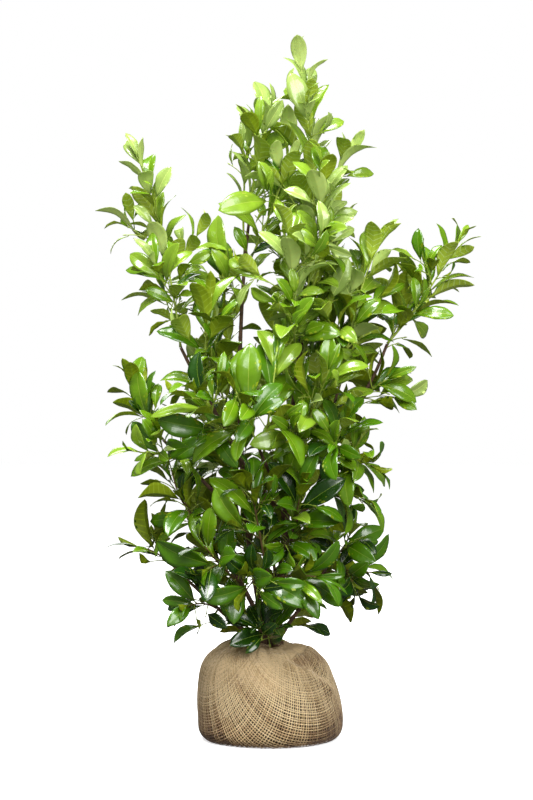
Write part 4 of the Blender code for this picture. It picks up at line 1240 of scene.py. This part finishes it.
def tip_leaves(name, mass, shoots, chance):
    """The youngest leaves, folded upright round the bud of each shoot, as long as its reach allows."""
    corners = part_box(name)
    leaves = []
    for points, _ in shoots:
        end, way = along(points, 1.0)
        for turn in range(chance.choice(TIP_COUNTS)):
            azimuth = turn * GOLDEN + chance.uniform(0, math.tau)
            opening = TIP_OPEN * chance.uniform(*TIP_OPEN_VARY)
            out = leaning(way, azimuth, opening).normalized()
            up = (way - out * way.dot(out)).normalized()
            size = mass.leaf * TIP_LEAF * chance.uniform(*TIP_VARY)
            while size > TIP_LEAST and not inside_reach(end + out * size, corners):
                size *= TIP_SHRINK
            leaves.append((end - way * TIP_SUNK, out, up, size, size * TIP_WIDTH))
    return leaves


# ---- the whole plant

def grow():
    """Limbs, shoots and leaves as in the solids, then the finer ones; the guides are removed at the end."""
    space = Space()
    space.add("root_ball", *shape_of(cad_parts["root_ball"].data))
    carriers = {}
    for name, limb in LIMBS.items():
        points, mesh = (make_bough(name, limb, carriers) if limb.carrier
                        else make_stem(name, limb))
        space.add(name, *shape_of(mesh))
        carriers[name] = (points, mesh, (limb.thick, limb.thin))
    shoots = {name: make_twigs(name, mass, carriers, space) for name, mass in MASSES.items()}
    leaves = {name: grow_leaves(name, mass, shoots[name], space) for name, mass in MASSES.items()}
    spurs = {name: spurs_of(name, mass, shoots[name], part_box(name), SPUR_EVERY, SPUR_REACH, space)
             for name, mass in MASSES.items()}
    small_leaves = {name: finer_leaves(name, mass, spurs[name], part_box(name), space)
                    + tip_leaves(name, mass, shoots[name], random.Random(mass.seed + TIP_DRAWS))
                    for name, mass in MASSES.items()}
    for name, mass in INNER.items():
        shoots[name], leaves[name] = [(carriers[name][0], 0)], []
        spurs[name] = spurs_of(name, mass, shoots[name], INNER_BOX, INNER_EVERY, INNER_REACH, space)
        small_leaves[name] = finer_leaves(name, mass, spurs[name], INNER_BOX, space)
    for sides in (LIMB_SIDES, TWIG_SIDES):
        bpy.data.objects.remove(section(sides))
    return carriers, shoots, spurs, leaves, small_leaves


def dress_limbs(carriers):
    for name, limb in LIMBS.items():
        points, _, widths = carriers[name]
        stands = limb.carrier is None
        inside = 0.0 if stands or limb.share == 1.0 else spread(*carriers[limb.carrier][2], limb.share)
        settle(bark_limb(name, points, *widths, inside, stands), "bark", name)


def settle(piece, slot, *nodes):
    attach(piece, "root")
    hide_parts(*nodes)


def leaf_tint_with_painted_light(height, bias, chance):
    """Materials of a leaf's upper side, underside with its veins, and midrib, paler with height: partly the
    leaves' own colour, partly painted shade low in the crown and a painted backlit glow at the top.
    """
    tones = len(UPPER_TONES)
    level = (height - LOWEST_TONE) / (HIGHEST_TONE - LOWEST_TONE) * (tones - 1)
    level = level + bias + chance.gauss(0, TONE_VARY)
    tone = min(max(round(level), 0), tones - 1)
    rib = 2 * tones + min(tone // 2, len(RIB_TONES) - 1)
    return tone, (tones + tone, tones + tone + 1 if tone < tones - 1 else rib), rib


def dress_leaves(slot, names, leaves, small_leaves):
    """The leaves of some masses and limbs, joined into pieces of a fair size."""
    part, heap, inside = 1, Heap(), []
    for name in names + [None]:
        if name is None or heap.triangles > PIECE_TRIANGLES:
            settle(heap.piece(f"{slot}_{part}", LEAF_LOOKS), slot, *inside)
            part, heap, inside = part + 1, Heap(), []
        if name:
            chance = random.Random({**MASSES, **INNER}[name].seed + LOOK_DRAWS)
            bias = chance.uniform(-MASS_VARY, MASS_VARY)
            for grid, group in ((LARGE_LEAF, leaves[name]), (SMALL_LEAF, small_leaves[name])):
                for leaf in group:
                    # the tone by height carries painted shade low in the crown and a painted backlit glow at
                    # the top
                    living_leaf(heap, *leaf, grid, leaf_tint_with_painted_light(leaf[0].z + leaf[3] * 0.5, bias, chance), chance)
            inside += [name] if name in MASSES else []


def dress_shoots(slot, names, carriers, shoots, spurs):
    """The green and brown wood that carries those leaves, as one piece."""
    wood = Heap()
    for points, _ in (spur for name in names for spur in spurs[name]):
        living_shoot(wood, points, *SPUR_WIDTHS, 0)
    names = [name for name in names if name in MASSES]
    for name in names:
        mass = MASSES[name]
        thick = spread(*carriers[mass.carrier][2], mass.share)
        for index, (points, _) in enumerate(shoots[name]):
            brown = 1 if points[0].z < GREEN_FROM else 0
            foot = None if index else thick if mass.share == 1.0 else STEM_WIDTHS[0] * SIDE_FOOT
            widths = TWIG_WIDTHS if index else STEM_WIDTHS
            living_shoot(wood, points, *(width * STEM_LOOK for width in widths), brown, foot)
    settle(wood.piece(f"{slot}_shoots", [GREEN_SHOOT, BROWN_SHOOT]), slot, *names)


def dress_masses(carriers, shoots, spurs, leaves, small_leaves):
    groups = {"young_leaves": [], "old_leaves": list(INNER)}
    for name in MASSES:
        groups["young_leaves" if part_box(name)[1].z > YOUNG_FROM else "old_leaves"].append(name)
    for slot, names in groups.items():
        dress_leaves(slot, names, leaves, small_leaves)
        dress_shoots(slot, names, carriers, shoots, spurs)


def dress_ball():
    core = ball_core(core_finish())
    points = np.array([vertex.co for vertex in core.data.vertices])
    cover = core.data.attributes.new("cover", "FLOAT", "POINT")
    cover.data.foreach_set("value", np.clip(inner_cloth(points), 0, 1).astype(np.float32))
    settle(core, "jute_cloth", "root_ball")
    for threads in jute_net(JUTE_LOOKS):
        settle(threads, "jute_cloth", "root_ball")
    heap = Heap()
    fringe(heap, random.Random(5))
    settle(heap.piece("jute_fringe", JUTE_LOOKS[:1]), "jute_cloth", "root_ball")


def area_light(name, place, aim, size, power):
    lamp = bpy.data.lights.new(name, "AREA")
    lamp.shape = "DISK"
    lamp.size = size
    lamp.energy = power
    thing = new_object(name, lamp)
    thing.location = place
    thing.rotation_euler = (Vector((0, 0, aim)) - Vector(place)).to_track_quat("-Z", "Y").to_euler()


def set_world(scene):
    """Plain white surroundings that light the plant, and shine in its gloss, less than they show."""
    world = bpy.data.worlds.new("studio")
    world.use_nodes = True
    nodes, links = world.node_tree.nodes, world.node_tree.links
    ray = nodes.new("ShaderNodeLightPath")
    seen, glossy = nodes.new("ShaderNodeMix"), nodes.new("ShaderNodeMix")
    fill(glossy, {"A": SKY, "B": SKY_GLOSS})
    fill(seen, {"B": 1.0})
    links.new(ray.outputs["Is Glossy Ray"], glossy.inputs["Factor"])
    links.new(ray.outputs["Is Camera Ray"], seen.inputs["Factor"])
    links.new(glossy.outputs["Result"], seen.inputs["A"])
    fill(nodes["Background"], {"Color": (1, 1, 1, 1)})
    links.new(seen.outputs["Result"], nodes["Background"].inputs["Strength"])
    scene.world = world


def set_stage():
    """White floor and surroundings, large soft lights above and in front, and the camera."""
    scene = bpy.context.scene
    form = bmesh.new()
    bmesh.ops.create_grid(form, x_segments=1, y_segments=1, size=FLOOR_HALF)
    mesh = bpy.data.meshes.new("floor")
    form.to_mesh(mesh)
    form.free()
    floor = new_object("floor", mesh)
    white = finish("floor_look", (0.93, 0.93, 0.93, 1), 0.9)
    fill(white.node_tree.nodes["Principled BSDF"], {"Emission Color": (1, 1, 1, 1),
                                                    "Emission Strength": FLOOR_GLOW})
    mesh.materials.append(white)
    floor.visible_diffuse = floor.visible_glossy = False
    set_world(scene)
    for light in LIGHTS:
        area_light(*light)
    scene.view_settings.view_transform = "Standard"
    camera = bpy.data.cameras.new("camera")
    camera.sensor_fit = "VERTICAL"
    camera.sensor_height = SENSOR
    camera.lens = SENSOR * -CAMERA_PLACE[1] / VIEW_HEIGHT
    camera.clip_end = 100
    thing = new_object("camera", camera)
    thing.location = CAMERA_PLACE
    thing.rotation_euler = (math.pi / 2, 0, 0)
    scene.camera = thing


set_stage()
CARRIERS, *GROWTH = grow()
dress_limbs(CARRIERS)
dress_masses(CARRIERS, *GROWTH)
dress_ball()
